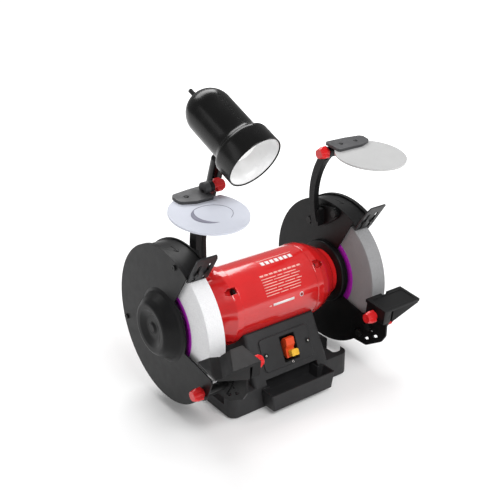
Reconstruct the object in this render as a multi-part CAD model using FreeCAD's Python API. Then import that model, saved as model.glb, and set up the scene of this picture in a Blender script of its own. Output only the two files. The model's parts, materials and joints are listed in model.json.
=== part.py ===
import FreeCAD, Part
import math
import os

# Bench grinder, 200 mm wheels, millimetres.  +X runs along the motor shaft (left wheel at -X),
# the operator stands at -Y and +Z is up.  The origin is on the bench, in the middle of the
# four mounting holes.

V = FreeCAD.Vector
X_AXIS = V(1, 0, 0)
Y_AXIS = V(0, 1, 0)
Z_AXIS = V(0, 0, 1)
ORIGIN = V(0, 0, 0)

# ---- driving dimensions ----
AXIS_Z = 134.0            # shaft height above the bench
FOOT_T = 2.0              # thickness of the rubber feet

WHEEL_R = 100.0
WHEEL_X0, WHEEL_X1 = 128.7, 153.7
WHEEL_BORE_R = 16.0
BLOTTER_R = 58.3
BLOTTER_T = 0.7

SHAFT_R = 10.0            # at the bearings
SPINDLE_R = 8.0           # under the wheels
SPINDLE_X0, SPINDLE_X1 = 119.5, 172.0
BEARING_X0, BEARING_X1, BEARING_R = 99.0, 113.0, 23.5

MOTOR_R = 54.0
MOTOR_WALL = 3.0
SHELL_X = 66.0            # half length of the motor shell
NECK_R, NECK_X1 = 36.0, 118.0
TIE_R = 48.5              # radius of the end bell screw circle
TIE_SEAT = 3.0            # depth of the screw seats behind the bell's inner rim
TIE_ANGLES = (45, 135, 225, 315)
SCOOP_R, SCOOP_L = 7.0, 13.0           # open scoops over the end bell screws
SCOOP_OUT = 2.3           # a scoop's centre lies this far outside its screw
BELL_RIM_R = {"left": 56.2, "right": 54.6}

GUARD_R = 112.0
GUARD_X0, GUARD_X1 = 124.6, 126.4      # motor-side plate
COLLAR_R = 48.0
BAND_R = 109.5
BAND_T = 1.6
COVER_X0, COVER_X1 = 159.9, 161.7      # outer plate
DOME_R, DOME_X = 50.0, 182.0
DOME_FLAT = 6.0           # flat ring left around the dome beside the open front
DISH = 5.5                # depth of the dish in the middle of the dome
LUG_ANGLES = (70.0, 197.0, 310.0)
LUG_R = 104.0
SHEET = 1.8
OPEN_TOP = 56.0           # end of the rim band above the front, degrees
BAND_END = 315.0          # other end of the rim band, below the front
NECK_BOLT_R = 28.5        # bolt circle that holds a guard on its end bell
DEFLECTOR_SCREWS_X = (135.0, 150.0)
DEFLECTOR_SCREW_R = BAND_R + 9.0
DEFLECTOR_T = 2.0

BASE_X, BASE_Y = 106.5, 80.5
BASE_TOP = 36.0
BASE_WALL = 4.0
PED_X0, PED_X1 = 66.0, 62.0            # pedestal half widths, bottom and top
PED_TOP, PED_TOP_Y = 104.0, 49.0
SLOPE = math.degrees(math.atan2(PED_TOP - BASE_TOP, BASE_Y - PED_TOP_Y))
HOLE_X, HOLE_Y, HOLE_R = 94.0, 58.0, 4.5

TRAY_FRONT, TRAY_BACK = -106.5, -80.8
TRAY_Z0, TRAY_Z1 = 7.3, 33.4
RECESS_X, RECESS_Y, RECESS_Z0, RECESS_Z1 = 46.5, -62.0, 12.0, 42.0

SWITCH_X = 4.5
SWITCH_S = 39.0           # switch centre, measured up the sloping front
PLATE_SCREWS_X = (-37.5, 37.5)
FLOOR_SCREWS = [(x, y) for x in (-70.0, 70.0) for y in (-66.0, 66.0)]
GLAND_X, GLAND_Z = -60.0, 20.0

REST_PIVOT = (-127.0, 116.0)
REST_X0, REST_X1 = 108.0, 177.0
REST_TILT = 5.7           # the rest drops this much to the front, degrees
BRACKET_X0, BRACKET_X1 = 121.4, 124.4
STUD_R = 3.0
COVER_KNOB = (-93.0, 75.5)
BRACKET_BOLTS = [(-104.0, 84.0), (-86.0, 66.0)]
SLIDE_OUT, SLIDE_IN = 8.0, 2.0         # travel of the rest bracket in its slots
DRILL_ANGLE = 30.0        # run of the drill-point groove in the left rest

ARM_X0, ARM_X1 = 109.0, 115.0
ARM_W = 15.0
ARM_PAD_X0 = GUARD_X0 - 4.1
ARM_BOLTS = [(31.5, 207.0), (-22.0, 234.0)]
SHIELD = {
    "right": {"base": (8.0, 214.0), "mid": (14.6, 264.0), "pivot": (-14.0, 327.0), "foot": 208.0,
              "reach": 53.0, "rise": 11.0, "tilt": 6.8, "wing": (105.5, 171.0, 30.0)},
    "left": {"base": (-7.0, 218.0), "mid": (-10.5, 265.0), "pivot": (-46.0, 333.0), "foot": 217.0,
             "reach": 42.0, "rise": -8.5, "tilt": 8.8, "wing": (115.4, 164.0, 31.0)},
}
LENS_R, LENS_T, LENS_OUT = 50.0, 2.5, 29.0

NECK_TUBE_R = 6.8
NECK_X, NECK_Y, NECK_Z = -90.0, 10.5, 192.0
NECK_START = (NECK_Y, NECK_Z + 10.0)
LOWER_STEPS = [(22.0, 0.0)]            # (length, turn to the front in degrees)
MIDDLE_STEPS = [(4.0, 0.0), (24.0, 21.0), (18.0, 0.0)]
UPPER_STEPS = [(52.0, -1.5)]
JOINT_GAP = 2.6
LAMP_APEX = V(-113.8, -22.0, 442.0)
LAMP_AXIS = V(0.113, -0.860, -0.498)
LAMP_PIVOT = V(-90.0, -41.5, 385.0)
SHADE_R, SHADE_RIM_R, SHADE_L = 30.2, 37.6, 119.0

SIDES = (("left", -1), ("right", 1))


# ---- small helpers ----
def box(x0, x1, y0, y1, z0, z1):
    return Part.makeBox(x1 - x0, y1 - y0, z1 - z0, V(x0, y0, z0))


def rod(start, direction, radius, length):
    return Part.makeCylinder(radius, length, start, direction)


def rod_x(x0, x1, radius, y=0.0, z=AXIS_Z):
    return rod(V(x0, y, z), X_AXIS, radius, x1 - x0)


def ring_x(x0, x1, outer, inner, y=0.0, z=AXIS_Z):
    return rod_x(x0, x1, outer, y, z).cut(rod_x(x0 - 1, x1 + 1, inner, y, z))


def polar(angle, radius):
    """(y, z) at an angle about the shaft, from straight ahead (-Y) upwards."""
    a = math.radians(angle)
    return -radius * math.cos(a), AXIS_Z + radius * math.sin(a)


def lift(axis, u, v, level):
    return {"x": V(level, u, v), "y": V(u, level, v), "z": V(u, v, level)}[axis]


def rounded_wire(points, axis, level):
    """Closed outline of (u, v, corner radius) points in the plane where axis = level."""
    corners = []
    for i, point in enumerate(points):
        u, v = point[0], point[1]
        radius = point[2] if len(point) > 2 else 0.0
        here = V(u, v, 0)
        before = V(points[i - 1][0], points[i - 1][1], 0) - here
        after = V(points[(i + 1) % len(points)][0], points[(i + 1) % len(points)][1], 0) - here
        if radius <= 0:
            corners.append((here, None, here))
            continue
        before.normalize()
        after.normalize()
        half = before.getAngle(after) / 2
        run = radius / math.tan(half)
        bisector = (before + after).normalize()
        centre = here + bisector * (radius / math.sin(half))
        corners.append((here + before * run, centre - bisector * radius, here + after * run))
    edges = []
    for i, (first, middle, last) in enumerate(corners):
        a, b = lift(axis, first.x, first.y, level), lift(axis, last.x, last.y, level)
        if middle is not None:
            edges.append(Part.Arc(a, lift(axis, middle.x, middle.y, level), b).toShape())
        following = corners[(i + 1) % len(corners)][0]
        c = lift(axis, following.x, following.y, level)
        if b.distanceToPoint(c) > 1e-6:
            edges.append(Part.LineSegment(b, c).toShape())
    return Part.Wire(edges)


def slab(points, axis, level0, level1):
    face = Part.Face(rounded_wire(points, axis, level0))
    return face.extrude({"x": X_AXIS, "y": Y_AXIS, "z": Z_AXIS}[axis] * (level1 - level0))


def rectangle(u0, u1, v0, v1, radius):
    return [(u0, v0, radius), (u1, v0, radius), (u1, v1, radius), (u0, v1, radius)]


def turned_x(points):
    """Solid of revolution about the shaft from an (x, radius, corner radius) outline."""
    wire = rounded_wire([(p[0], AXIS_Z + p[1]) + tuple(p[2:]) for p in points], "y", 0.0)
    return Part.Face(wire).revolve(V(0, 0, AXIS_Z), X_AXIS, 360)


def turned_z(points):
    """Solid of revolution about Z from a (radius, z, corner radius) outline."""
    return Part.Face(rounded_wire(points, "y", 0.0)).revolve(ORIGIN, Z_AXIS, 360)


def sector(angle0, angle1, inner, outer, x0, x1):
    """Slice of a ring about the shaft; angles run upwards from straight ahead."""
    def at(angle, radius):
        y, z = polar(angle, radius)
        return V(x0, y, z)
    mid = (angle0 + angle1) / 2
    edges = [
        Part.Arc(at(angle0, outer), at(mid, outer), at(angle1, outer)).toShape(),
        Part.LineSegment(at(angle1, outer), at(angle1, inner)).toShape(),
        Part.Arc(at(angle1, inner), at(mid, inner), at(angle0, inner)).toShape(),
        Part.LineSegment(at(angle0, inner), at(angle0, outer)).toShape(),
    ]
    return Part.Face(Part.Wire(edges)).extrude(V(x1 - x0, 0, 0))


def turn_yz(shape, angle, y, z):
    """Rotate about an X-parallel line; positive angles drop the front."""
    turned = shape.copy()
    turned.rotate(V(0, y, z), X_AXIS, angle)
    return turned


def slot_x(x0, x1, y0, z0, y1, z1, radius):
    """Round-ended slot cutter along X between two centres."""
    along = V(0, y1 - y0, z1 - z0)
    length = along.Length
    body = Part.makeBox(x1 - x0, length, 2 * radius, V(x0, 0, -radius))
    body = body.fuse([rod(V(x0, 0, 0), X_AXIS, radius, x1 - x0),
                      rod(V(x0, length, 0), X_AXIS, radius, x1 - x0)])
    body.rotate(ORIGIN, X_AXIS, math.degrees(math.atan2(along.z, along.y)))
    body.translate(V(0, y0, z0))
    return body


def hexagon_x(x0, x1, across_flats, y, z):
    corner = across_flats / math.sqrt(3)
    points = [(y + corner * math.cos(math.radians(60 * i)),
               z + corner * math.sin(math.radians(60 * i))) for i in range(6)]
    return slab(points, "x", x0, x1)


def joined(shapes):
    shapes = list(shapes)
    if len(shapes) == 1:
        return shapes[0]
    return shapes[0].fuse(shapes[1:]).removeSplitter()


def on_side(sign, shape):
    """Shapes are drawn for the right-hand side; the left is their mirror image."""
    return shape if sign > 0 else shape.mirror(ORIGIN, X_AXIS)


def both_sides(shape):
    return [shape, on_side(-1, shape)]


def save(name, shape):
    solids = []
    for piece in (shape if isinstance(shape, list) else [shape]):
        solids += piece.Solids
    result = solids[0] if len(solids) == 1 else Part.makeCompound(solids)
    if not solids or not result.isValid():
        raise ValueError(name + " is not a valid shape")
    result.exportStep("parts/" + name + ".step")
    print(name, len(solids), round(sum(s.Volume for s in solids) / 1000, 1), "cm3")


# ---- base ----
def on_slope(shape):
    """Move a shape drawn flat (x across, y up the slope, z outwards) onto the sloping front."""
    placed = shape.copy()
    placed.rotate(ORIGIN, X_AXIS, SLOPE)
    run = math.radians(SLOPE)
    placed.translate(V(0, -BASE_Y + SWITCH_S * math.cos(run), BASE_TOP + SWITCH_S * math.sin(run)))
    return placed


def pedestal_block(inset, z0):
    """Tapering pedestal from z0 up to its top, shrunk by inset on every side."""
    share = (z0 - BASE_TOP) / (PED_TOP - BASE_TOP)
    x0 = PED_X0 + (PED_X1 - PED_X0) * share - inset
    y0 = BASE_Y + (PED_TOP_Y - BASE_Y) * share - inset
    x1, y1 = PED_X1 - inset, PED_TOP_Y - inset
    low = rounded_wire(rectangle(-x0, x0, -y0, y0, 5.0), "z", z0)
    high = rounded_wire(rectangle(-x1, x1, -y1, y1, 5.0), "z", PED_TOP)
    return Part.makeLoft([low, high], True, True)


def corner_holes():
    return [(sx * HOLE_X, sy * HOLE_Y) for sx in (-1, 1) for sy in (-1, 1)]


def base_housing():
    plinth = slab(rectangle(-BASE_X, BASE_X, -BASE_Y, BASE_Y, 12.0), "z", FOOT_T, BASE_TOP)
    outer = joined([plinth, pedestal_block(0.0, BASE_TOP)])
    w = BASE_WALL
    cavity = slab(rectangle(-BASE_X + w, BASE_X - w, -BASE_Y + w, BASE_Y - w, 8.0),
                  "z", FOOT_T, BASE_TOP - w)
    cavity = cavity.fuse(pedestal_block(w, BASE_TOP - w))
    body = outer.cut(cavity)
    added = [box(-RECESS_X - w, RECESS_X + w, -BASE_Y, RECESS_Y + w, 8.0, RECESS_Z1 + w)]
    for x, y in corner_holes():
        pocket = slab(rectangle(x - 17, x + 17, min(y, y * 0.62) - 17, max(y, y * 0.62) + 17, 16.9),
                      "z", 14.0, BASE_TOP)
        added.append(pocket)
        added.append(rod(V(x, y, FOOT_T), Z_AXIS, 9.0, 16.0))
    for x, y in FLOOR_SCREWS:
        added.append(rod(V(x, y, FOOT_T + 1.6), Z_AXIS, 5.0, BASE_TOP - 6.0))
    body = body.fuse([piece.common(outer) for piece in added])
    cuts = [box(-RECESS_X, RECESS_X, -BASE_Y - 1, RECESS_Y, RECESS_Z0, RECESS_Z1),
            rod_x(-SHELL_X - 5, SHELL_X + 5, MOTOR_R + 0.3)]
    for x, y in corner_holes():
        cuts.append(slab(rectangle(x - 13, x + 13, min(y, y * 0.62) - 13, max(y, y * 0.62) + 13, 12.9),
                         "z", 18.0, BASE_TOP + 1))
        cuts.append(rod(V(x, y, 0), Z_AXIS, HOLE_R, 30.0))
    for x, y in FLOOR_SCREWS:
        cuts.append(rod(V(x, y, 0), Z_AXIS, 1.6, 16.0))
    window = on_slope(Part.makeBox(27.0, 38.0, 60.0, V(SWITCH_X - 13.5, -19.0, -12.0)))
    cuts.append(window)
    for x in PLATE_SCREWS_X:
        cuts.append(on_slope(rod(V(x, 0, -12), Z_AXIS, 1.6, 20.0)))
    cuts.append(rod(V(GLAND_X, BASE_Y - 10, GLAND_Z), Y_AXIS, 7.0, 20.0))
    return body.cut(cuts)


def bottom_plate():
    gap = BASE_WALL + 0.4
    plate = slab(rectangle(-BASE_X + gap, BASE_X - gap, -BASE_Y + gap, BASE_Y - gap, 7.6),
                 "z", FOOT_T, FOOT_T + 1.5)
    holes = [rod(V(x, y, 0), Z_AXIS, 9.4, 9.0) for x, y in corner_holes()]
    for x, y in FLOOR_SCREWS:
        holes.append(rod(V(x, y, 0), Z_AXIS, 2.2, 9.0))
    for i in range(5):
        x = -24.0 + 12.0 * i
        holes.append(slab(rectangle(x - 2, x + 2, -22, 22, 1.9), "z", 0, 9))
    return plate.cut(holes)


def rubber_feet():
    feet = []
    for x, y in corner_holes():
        foot = rod(V(x, y, 0), Z_AXIS, 9.0, FOOT_T).cut(rod(V(x, y, -1), Z_AXIS, HOLE_R, 5.0))
        feet.append(foot)
    return feet


def cable_gland():
    """Inlet bush through the back wall: a threaded body, its inner nut, flange and tapered nose."""
    def along(offset, radius, length):
        return rod(V(GLAND_X, BASE_Y + offset, GLAND_Z), Y_AXIS, radius, length)
    nose = Part.makeCone(8.6, 6.0, 14.0, V(GLAND_X, BASE_Y + 3, GLAND_Z), Y_AXIS)
    body = joined([along(-9, 6.9, 12), along(-9, 9.5, 4.5), along(0.1, 10.0, 3.0), nose])
    return body.cut(along(-20, 3.8, 60.0))


def capacitor():
    can = rod(V(-30, 28, 20), X_AXIS, 16.0, 60.0)
    return joined([can, rod(V(-34, 28, 20), X_AXIS, 5.0, 4.0)])


def coolant_tray():
    y0, y1 = TRAY_FRONT, TRAY_BACK
    low = rounded_wire(rectangle(-52.7, 52.7, y0 + 1, y1, 2.0), "z", TRAY_Z0)
    high = rounded_wire(rectangle(-56.5, 56.5, y0, y1, 2.0), "z", TRAY_Z1)
    tongue = box(-RECESS_X + 0.5, RECESS_X - 0.5, y1 - 2, RECESS_Y - 0.8, RECESS_Z0 + 0.3, TRAY_Z1)
    outer = joined([Part.makeLoft([low, high], True, True), tongue])
    w = 2.5
    low = rounded_wire(rectangle(-52.7 + w, 52.7 - w, y0 + 1 + w, y1 - w, 1.5), "z", TRAY_Z0 + w)
    high = rounded_wire(rectangle(-56.5 + w, 56.5 - w, y0 + w, y1 - w, 1.5), "z", TRAY_Z1 + 0.1)
    inner = Part.makeLoft([low, high], True, True)
    deep = box(-RECESS_X + 0.5 + w, RECESS_X - 0.5 - w, y1 - 2 * w - 1, RECESS_Y - 0.8 - w,
               RECESS_Z0 + 0.3 + w, TRAY_Z1 + 1)
    return outer.cut([inner, deep])


# ---- switch ----
def switch_plate():
    plate = slab(rectangle(-43.5, 43.5, -23.5, 23.5, 6.0), "z", 0.0, 2.2)
    plate = plate.makeFillet(0.8, [e for e in plate.Edges if e.CenterOfMass.z > 2.1])
    hole = slab(rectangle(SWITCH_X - 13.5, SWITCH_X + 13.5, -19, 19, 1.5), "z", -1, 4)
    screws = [rod(V(x, 0, -1), Z_AXIS, 2.1, 5.0) for x in PLATE_SCREWS_X]
    return on_slope(plate.cut([hole] + screws))


def switch_housing():
    body = slab(rectangle(SWITCH_X - 13.2, SWITCH_X + 13.2, -18.7, 18.7, 1.2), "z", -26.0, 1.2)
    well = slab(rectangle(SWITCH_X - 11.8, SWITCH_X + 11.8, -17.4, 17.4, 1.0), "z", -16.0, 2.0)
    pin = rod(V(SWITCH_X - 12.7, 0, -8), X_AXIS, 1.6, 25.4)
    tabs = [box(SWITCH_X + dx - 1, SWITCH_X + dx + 1, -6, 6, -34, -26) for dx in (-7, 0, 7)]
    return on_slope(joined([body.cut([well, pin])] + tabs))


def switch_paddle():
    outline = [(-14.5, -1.0, 1.5), (-14.5, 1.2, 1.0), (-1.5, 2.2, 2.0), (4.0, 7.2, 3.0), (13.6, 8.0, 2.0),
               (15.0, 1.0, 2.0), (5.5, -12.5, 4.0), (-5.5, -12.5, 4.0)]
    lever = slab(outline, "x", SWITCH_X - 7.2, SWITCH_X + 7.2)
    pin = rod(V(SWITCH_X - 12.5, 0, -8), X_AXIS, 1.5, 25.0)
    key_slot = box(SWITCH_X - 2.3, SWITCH_X + 5.3, -10.3, -7.7, -3.0, 5.0)
    return on_slope(joined([lever, pin]).cut(key_slot))


def switch_key():
    head = slab(rectangle(SWITCH_X - 4.0, SWITCH_X + 8.4, -13.2, -3.6, 2.2), "z", 2.6, 10.6)
    blade = box(SWITCH_X - 2.0, SWITCH_X + 5.0, -10.0, -8.0, -2.7, 2.8)
    dish = rod(V(SWITCH_X + 2.2, -3.0, 17.0), V(0, -1, 0), 8.5, 12.0)
    return on_slope(joined([head.cut(dish), blade]))


# ---- motor ----
def tie_points():
    for angle in TIE_ANGLES:
        yield polar(angle, TIE_R)


def motor_shell():
    shell = ring_x(-SHELL_X, SHELL_X, MOTOR_R, MOTOR_R - MOTOR_WALL)
    lugs, holes = [], []
    for y, z in tie_points():
        for x0 in (-SHELL_X + 4.2, SHELL_X - 18.0):
            lug = rod_x(x0, x0 + 13.8, 5.0, y, z)
            lugs.append(lug.common(rod_x(-SHELL_X, SHELL_X, MOTOR_R - 1)))
        holes.append(rod_x(-SHELL_X - 1, SHELL_X + 1, 2.1, y, z))
    return joined([shell] + lugs).cut(holes)


def end_bell(side):
    rim = BELL_RIM_R[side]
    x = SHELL_X
    outer = [(x, 0), (x, rim, 1.5), (x + 11, rim, 4.0), (x + 22, 51.0, 12.0), (x + 38, 43.0, 14.0),
             (x + 43.5, NECK_R, 6.0), (NECK_X1, NECK_R, 1.0), (NECK_X1, 0)]
    hollow = [(x - 1, 0), (x - 1, 49.8), (x + 14, 49.8, 4.0), (x + 32, 28.0, 6.0), (x + 32, 0)]
    solid = turned_x(outer)
    bell = solid.cut([turned_x(hollow), rod_x(90, BEARING_X1, BEARING_R), rod_x(90, NECK_X1 + 1, 14.0)])
    spigot = ring_x(x - 4, x + 0.5, MOTOR_R - MOTOR_WALL - 0.1, 47.6)
    pads, cuts = [], []
    for y, z in tie_points():
        out = V(0, y, z - AXIS_Z).normalize() * SCOOP_OUT
        sy, sz = y + out.y, z + out.z
        pads.append(rod_x(x, x + 24, 10.0, y, z).common(solid))
        end = Part.makeCone(SCOOP_R, SCOOP_R - 4.0, 6.0, V(x + SCOOP_L, sy, sz), X_AXIS)
        cuts.append(rod_x(x + TIE_SEAT, x + SCOOP_L, SCOOP_R, sy, sz).fuse(end))
        cuts.append(rod_x(x - 5, x + 20, 2.6, y, z))
    for angle in TIE_ANGLES:
        y, z = polar(angle, NECK_BOLT_R)
        cuts.append(rod_x(NECK_X1 - 14, NECK_X1 + 1, 2.5, y, z))
    spigot = spigot.cut([rod_x(x - 5, x + 1, 5.6, y, z) for y, z in tie_points()])
    return joined([bell, spigot] + pads).cut(cuts)


def left_end_bell():
    bell = on_side(-1, end_bell("left"))
    boss = rod(V(NECK_X, NECK_Y, AXIS_Z + 44), Z_AXIS, 11.0, NECK_Z - AXIS_Z - 44)
    foot = Part.makeCone(14.0, 11.0, 6.0, V(NECK_X, NECK_Y, AXIS_Z + 44), Z_AXIS)
    bore = rod(V(NECK_X, NECK_Y, AXIS_Z + 30), Z_AXIS, 5.0, 40.0)
    return joined([bell, boss, foot]).cut([bore, rod_x(-94, -67, 36.0)])


def stator_core():
    core = ring_x(-28, 28, MOTOR_R - MOTOR_WALL - 0.1, 30.0)
    slots = []
    for i in range(24):
        slot = box(-29, 29, -1.6, 1.6, AXIS_Z + 32, AXIS_Z + 41)
        slots.append(turn_yz(slot, 15 * i, 0, AXIS_Z))
    return core.cut(slots)


def stator_windings():
    return [turned_x([(x0, 32.0, 3), (x1, 32.0, 3), (x1, 45.0, 5), (x0, 45.0, 5)])
            for x0, x1 in ((-44.0, -28.3), (28.3, 44.0))]


def bearings():
    right = joined([ring_x(BEARING_X0, BEARING_X1, BEARING_R - 0.02, 20.0),
                    ring_x(BEARING_X0, BEARING_X1, 13.4, SHAFT_R + 0.04),
                    ring_x(BEARING_X0 + 0.8, BEARING_X1 - 0.8, 20.5, 13.0)])
    return both_sides(right)


def rotor_shaft():
    half = turned_x([(0, 0), (0, 13.0), (50, 13.0, 0), (50, 12.0), (BEARING_X0 - 0.5, 12.0),
                     (BEARING_X0 - 0.5, SHAFT_R), (SPINDLE_X0, SHAFT_R), (SPINDLE_X0, SPINDLE_R),
                     (SPINDLE_X1 - 1, SPINDLE_R), (SPINDLE_X1, SPINDLE_R - 1), (SPINDLE_X1, 0)])
    return joined(both_sides(half))


def rotor_core():
    core = ring_x(-28, 28, 29.5, 13.02)
    rings = [ring_x(28, 34, 28.0, 18.0), ring_x(-34, -28, 28.0, 18.0)]
    fans = []
    for i in range(8):
        blade = box(34, 40, -1, 1, AXIS_Z + 19, AXIS_Z + 27)
        fans += [turn_yz(piece, 45 * i, 0, AXIS_Z) for piece in both_sides(blade)]
    return joined([core] + rings + fans)


# ---- wheels ----
def wheel():
    c = 0.8
    return turned_x([(WHEEL_X0, WHEEL_BORE_R), (WHEEL_X1, WHEEL_BORE_R), (WHEEL_X1, WHEEL_R - c),
                     (WHEEL_X1 - c, WHEEL_R), (WHEEL_X0 + c, WHEEL_R), (WHEEL_X0, WHEEL_R - c)])


def wheel_bushings():
    return both_sides(ring_x(WHEEL_X0 + 1, WHEEL_X1 - 1, WHEEL_BORE_R - 0.03, SPINDLE_R + 0.05))


def blotters():
    inner = ring_x(WHEEL_X0 - 0.05 - BLOTTER_T, WHEEL_X0 - 0.05, BLOTTER_R, WHEEL_BORE_R)
    outer = ring_x(WHEEL_X1 + 0.05, WHEEL_X1 + 0.05 + BLOTTER_T, BLOTTER_R, WHEEL_BORE_R)
    return both_sides(inner) + both_sides(outer)


def wheel_flanges():
    a = WHEEL_X0 - 0.1 - BLOTTER_T
    bore = SPINDLE_R + 0.05
    inner = turned_x([(SPINDLE_X0 + 0.05, bore), (SPINDLE_X0 + 0.05, 13.0), (a - 2.9, 13.0, 1),
                      (a - 2.9, 34.0, 1), (a, 34.0), (a, 26.0), (a - 1, 25.0), (a - 1, bore)])
    b = WHEEL_X1 + 0.1 + BLOTTER_T
    outer = turned_x([(b, 34.0), (b, 26.0), (b + 1, 25.0), (b + 1, bore), (b + 5, bore),
                      (b + 5, 20.0, 1), (b + 3, 34.0, 1)])
    return both_sides(inner) + both_sides(outer)


def wheel_nuts():
    x0 = WHEEL_X1 + BLOTTER_T + 5.2
    nut = hexagon_x(x0, x0 + 9.0, 24.0, 0.0, AXIS_Z)
    cone = turned_x([(x0 - 1, 0), (x0 - 1, 12.6), (x0 + 1.0, 14.2), (x0 + 8.0, 14.2), (x0 + 10.0, 12.4),
                     (x0 + 10.0, 0)])
    return both_sides(nut.common(cone).cut(rod_x(x0 - 1, x0 + 11, SPINDLE_R + 0.05)))


# ---- guards ----
def ear(points, x0, x1):
    return slab([polar(p[0], p[1]) + tuple(p[2:]) for p in points], "x", x0, x1)


def wedge(low_inner, low_outer, top, inner, x0, x1):
    """Cutter for the open front of a guard plate."""
    far = 150.0
    points = [polar(low_inner, inner), polar(low_outer, far),
              polar((low_outer + top) / 2, 2 * far), polar(top, far), polar(top, inner)]
    cutter = slab(points, "x", x0, x1)
    return cutter.cut(rod_x(x0 - 1, x1 + 1, inner))


def guard():
    plate = turned_x([(GUARD_X0, COLLAR_R - SHEET), (GUARD_X0, GUARD_R), (GUARD_X1, GUARD_R),
                      (GUARD_X1, COLLAR_R - SHEET)])
    collar = turned_x([(NECK_X1 + 0.1, 24.0), (NECK_X1 + 0.1, COLLAR_R, 2.5), (GUARD_X1, COLLAR_R),
                       (GUARD_X1, COLLAR_R - SHEET), (NECK_X1 + 0.1 + SHEET, COLLAR_R - SHEET, 1.0),
                       (NECK_X1 + 0.1 + SHEET, 24.0)])
    plate = plate.cut(wedge(-34.0, -20.0, 59.5, COLLAR_R + 2, GUARD_X0 - 1, GUARD_X1 + 1))
    plate = joined([plate, collar, ear([(-24, 95), (-21.5, 121, 6), (-38, 121, 8), (-52, 110, 0), (-45, 90)],
                                       GUARD_X0, GUARD_X1)])
    band = sector(OPEN_TOP, BAND_END, BAND_R - BAND_T, BAND_R, GUARD_X1 - 0.5, COVER_X0 - 0.1)
    flange = slab([polar(OPEN_TOP, BAND_R - 1.0), polar(OPEN_TOP, BAND_R + 15.0),
                   polar(OPEN_TOP + 0.95, BAND_R + 15.0), polar(OPEN_TOP + 1.1, BAND_R - 1.0)],
                  "x", 129.0, 156.0)
    lugs, cuts = [], []
    for angle in LUG_ANGLES:
        y, z = polar(angle, LUG_R)
        block = rod_x(COVER_X0 - 3.1, COVER_X0 - 0.1, 5.0, y, z)
        reach = sector(angle - 2.4, angle + 2.4, LUG_R, BAND_R - 0.5, COVER_X0 - 3.1, COVER_X0 - 0.1)
        lugs += [block, reach]
        cuts.append(rod_x(COVER_X0 - 10, COVER_X0 + 1, 2.05, y, z))
    for angle in TIE_ANGLES:
        y, z = polar(angle, NECK_BOLT_R)
        cuts.append(rod_x(NECK_X1 - 1, NECK_X1 + 5, 2.7, y, z))
    for y, z in BRACKET_BOLTS + ARM_BOLTS + [COVER_KNOB]:
        cuts.append(rod_x(GUARD_X0 - 5, GUARD_X1 + 3, STUD_R + 0.05, y, z))
    for x in DEFLECTOR_SCREWS_X:
        cuts.append(deflector_frame(rod(V(x, 0, -10), Z_AXIS, 2.05, 20.0)))
    return joined([plate, band, flange] + lugs).cut(cuts)


def guard_cover():
    disc = rod_x(COVER_X0, COVER_X1, GUARD_R).cut(
        wedge(-21.0, -13.5, OPEN_TOP, DOME_R + DOME_FLAT, COVER_X0 - 1, COVER_X1 + 1))
    tab = ear([(-17, 98), (-14.0, 121.5, 5), (-33, 121.5, 9), (-49, 109.5, 0), (-45, 80)], COVER_X0, COVER_X1)
    lip = sector(OPEN_TOP + 1, 310.0, BAND_R + 0.6, GUARD_R, COVER_X0 - 4.0, COVER_X0 + 0.5)
    x0, x1, r = COVER_X0, DOME_X, DOME_R
    crest, floor = r - 19.0, 13.0
    skin = turned_x([(x0, 0), (x0, r + 2.5), (x0 + 1.8, r + 2.5), (x0 + 4.4, r - 2.0, 5), (x0 + 15, r - 9, 9),
                     (x1, crest + 4, 6), (x1 - 0.6, crest - 4, 6), (x1 - DISH, floor + 3, 8),
                     (x1 - DISH, floor - 4, 3), (x1 - DISH + 2.2, 5.5, 3), (x1 - DISH + 2.2, 0)])
    t = SHEET
    core = turned_x([(x0 - 1, 0), (x0 - 1, r - 3.4), (x0 + 3.4, r - 4.4, 2), (x0 + 15 - t, r - 11.4, 8),
                     (x1 - t, crest + 2.4, 4), (x1 - t - 0.4, crest - 3, 4), (x1 - t - DISH, floor + 4, 6),
                     (x1 - t - DISH, 0)])
    body = joined([disc.cut(rod_x(x0 - 1, x1, r - 6)), tab, lip, skin]).cut(core)
    holes = []
    for angle in LUG_ANGLES:
        y, z = polar(angle, LUG_R)
        holes.append(rod_x(x0 - 1, COVER_X1 + 1, 2.3, y, z))
    holes.append(rod_x(x0 - 5, COVER_X1 + 1, STUD_R + 0.08, *COVER_KNOB))
    return body.cut(holes)


def guard_stays():
    y, z = COVER_KNOB
    stay = ring_x(GUARD_X1 + 0.05, COVER_X0 - 0.05, 5.5, STUD_R + 0.08, y, z)
    return both_sides(stay)


def pan_screw_x(x, length, y, z, radius=2.0, head=3.8, height=2.2):
    """Screw with its head on the +X side of x and its shank running to -X."""
    screw = joined([rod_x(x - length, x, radius, y, z), rod_x(x + 0.02, x + height, head, y, z),
                    rod_x(x - 0.2, x + 0.2, radius, y, z)])
    cross = [box(x + height - 1.1, x + height + 1, y - 2.2, y + 2.2, z - 0.45, z + 0.45),
             box(x + height - 1.1, x + height + 1, y - 0.45, y + 0.45, z - 2.2, z + 2.2)]
    return screw.cut(cross)


def pan_screw_z(length, radius, head, height):
    """Cross-head screw with the underside of its head at z = 0."""
    slot, arm, depth = 0.45, 2.3, 1.0
    screw = joined([rod(V(0, 0, -length), Z_AXIS, radius, length + 0.2), rod(ORIGIN, Z_AXIS, head, height)])
    return screw.cut([box(-arm, arm, -slot, slot, height - depth, height + 1),
                      box(-slot, slot, -arm, arm, height - depth, height + 1)])


def guard_screws():
    """Cover screws and spark deflector screws, all the same pan-head pattern."""
    screws = []
    for angle in LUG_ANGLES:
        y, z = polar(angle, LUG_R)
        screws += both_sides(pan_screw_x(COVER_X1 + 0.02, 8.0, y, z))
    for x in DEFLECTOR_SCREWS_X:
        screw = pan_screw_z(8.0, 2.0, 4.0, 2.2)
        screw.translate(V(x, 0, DEFLECTOR_T + 0.3))
        screws += both_sides(deflector_frame(screw))
    return screws


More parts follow.
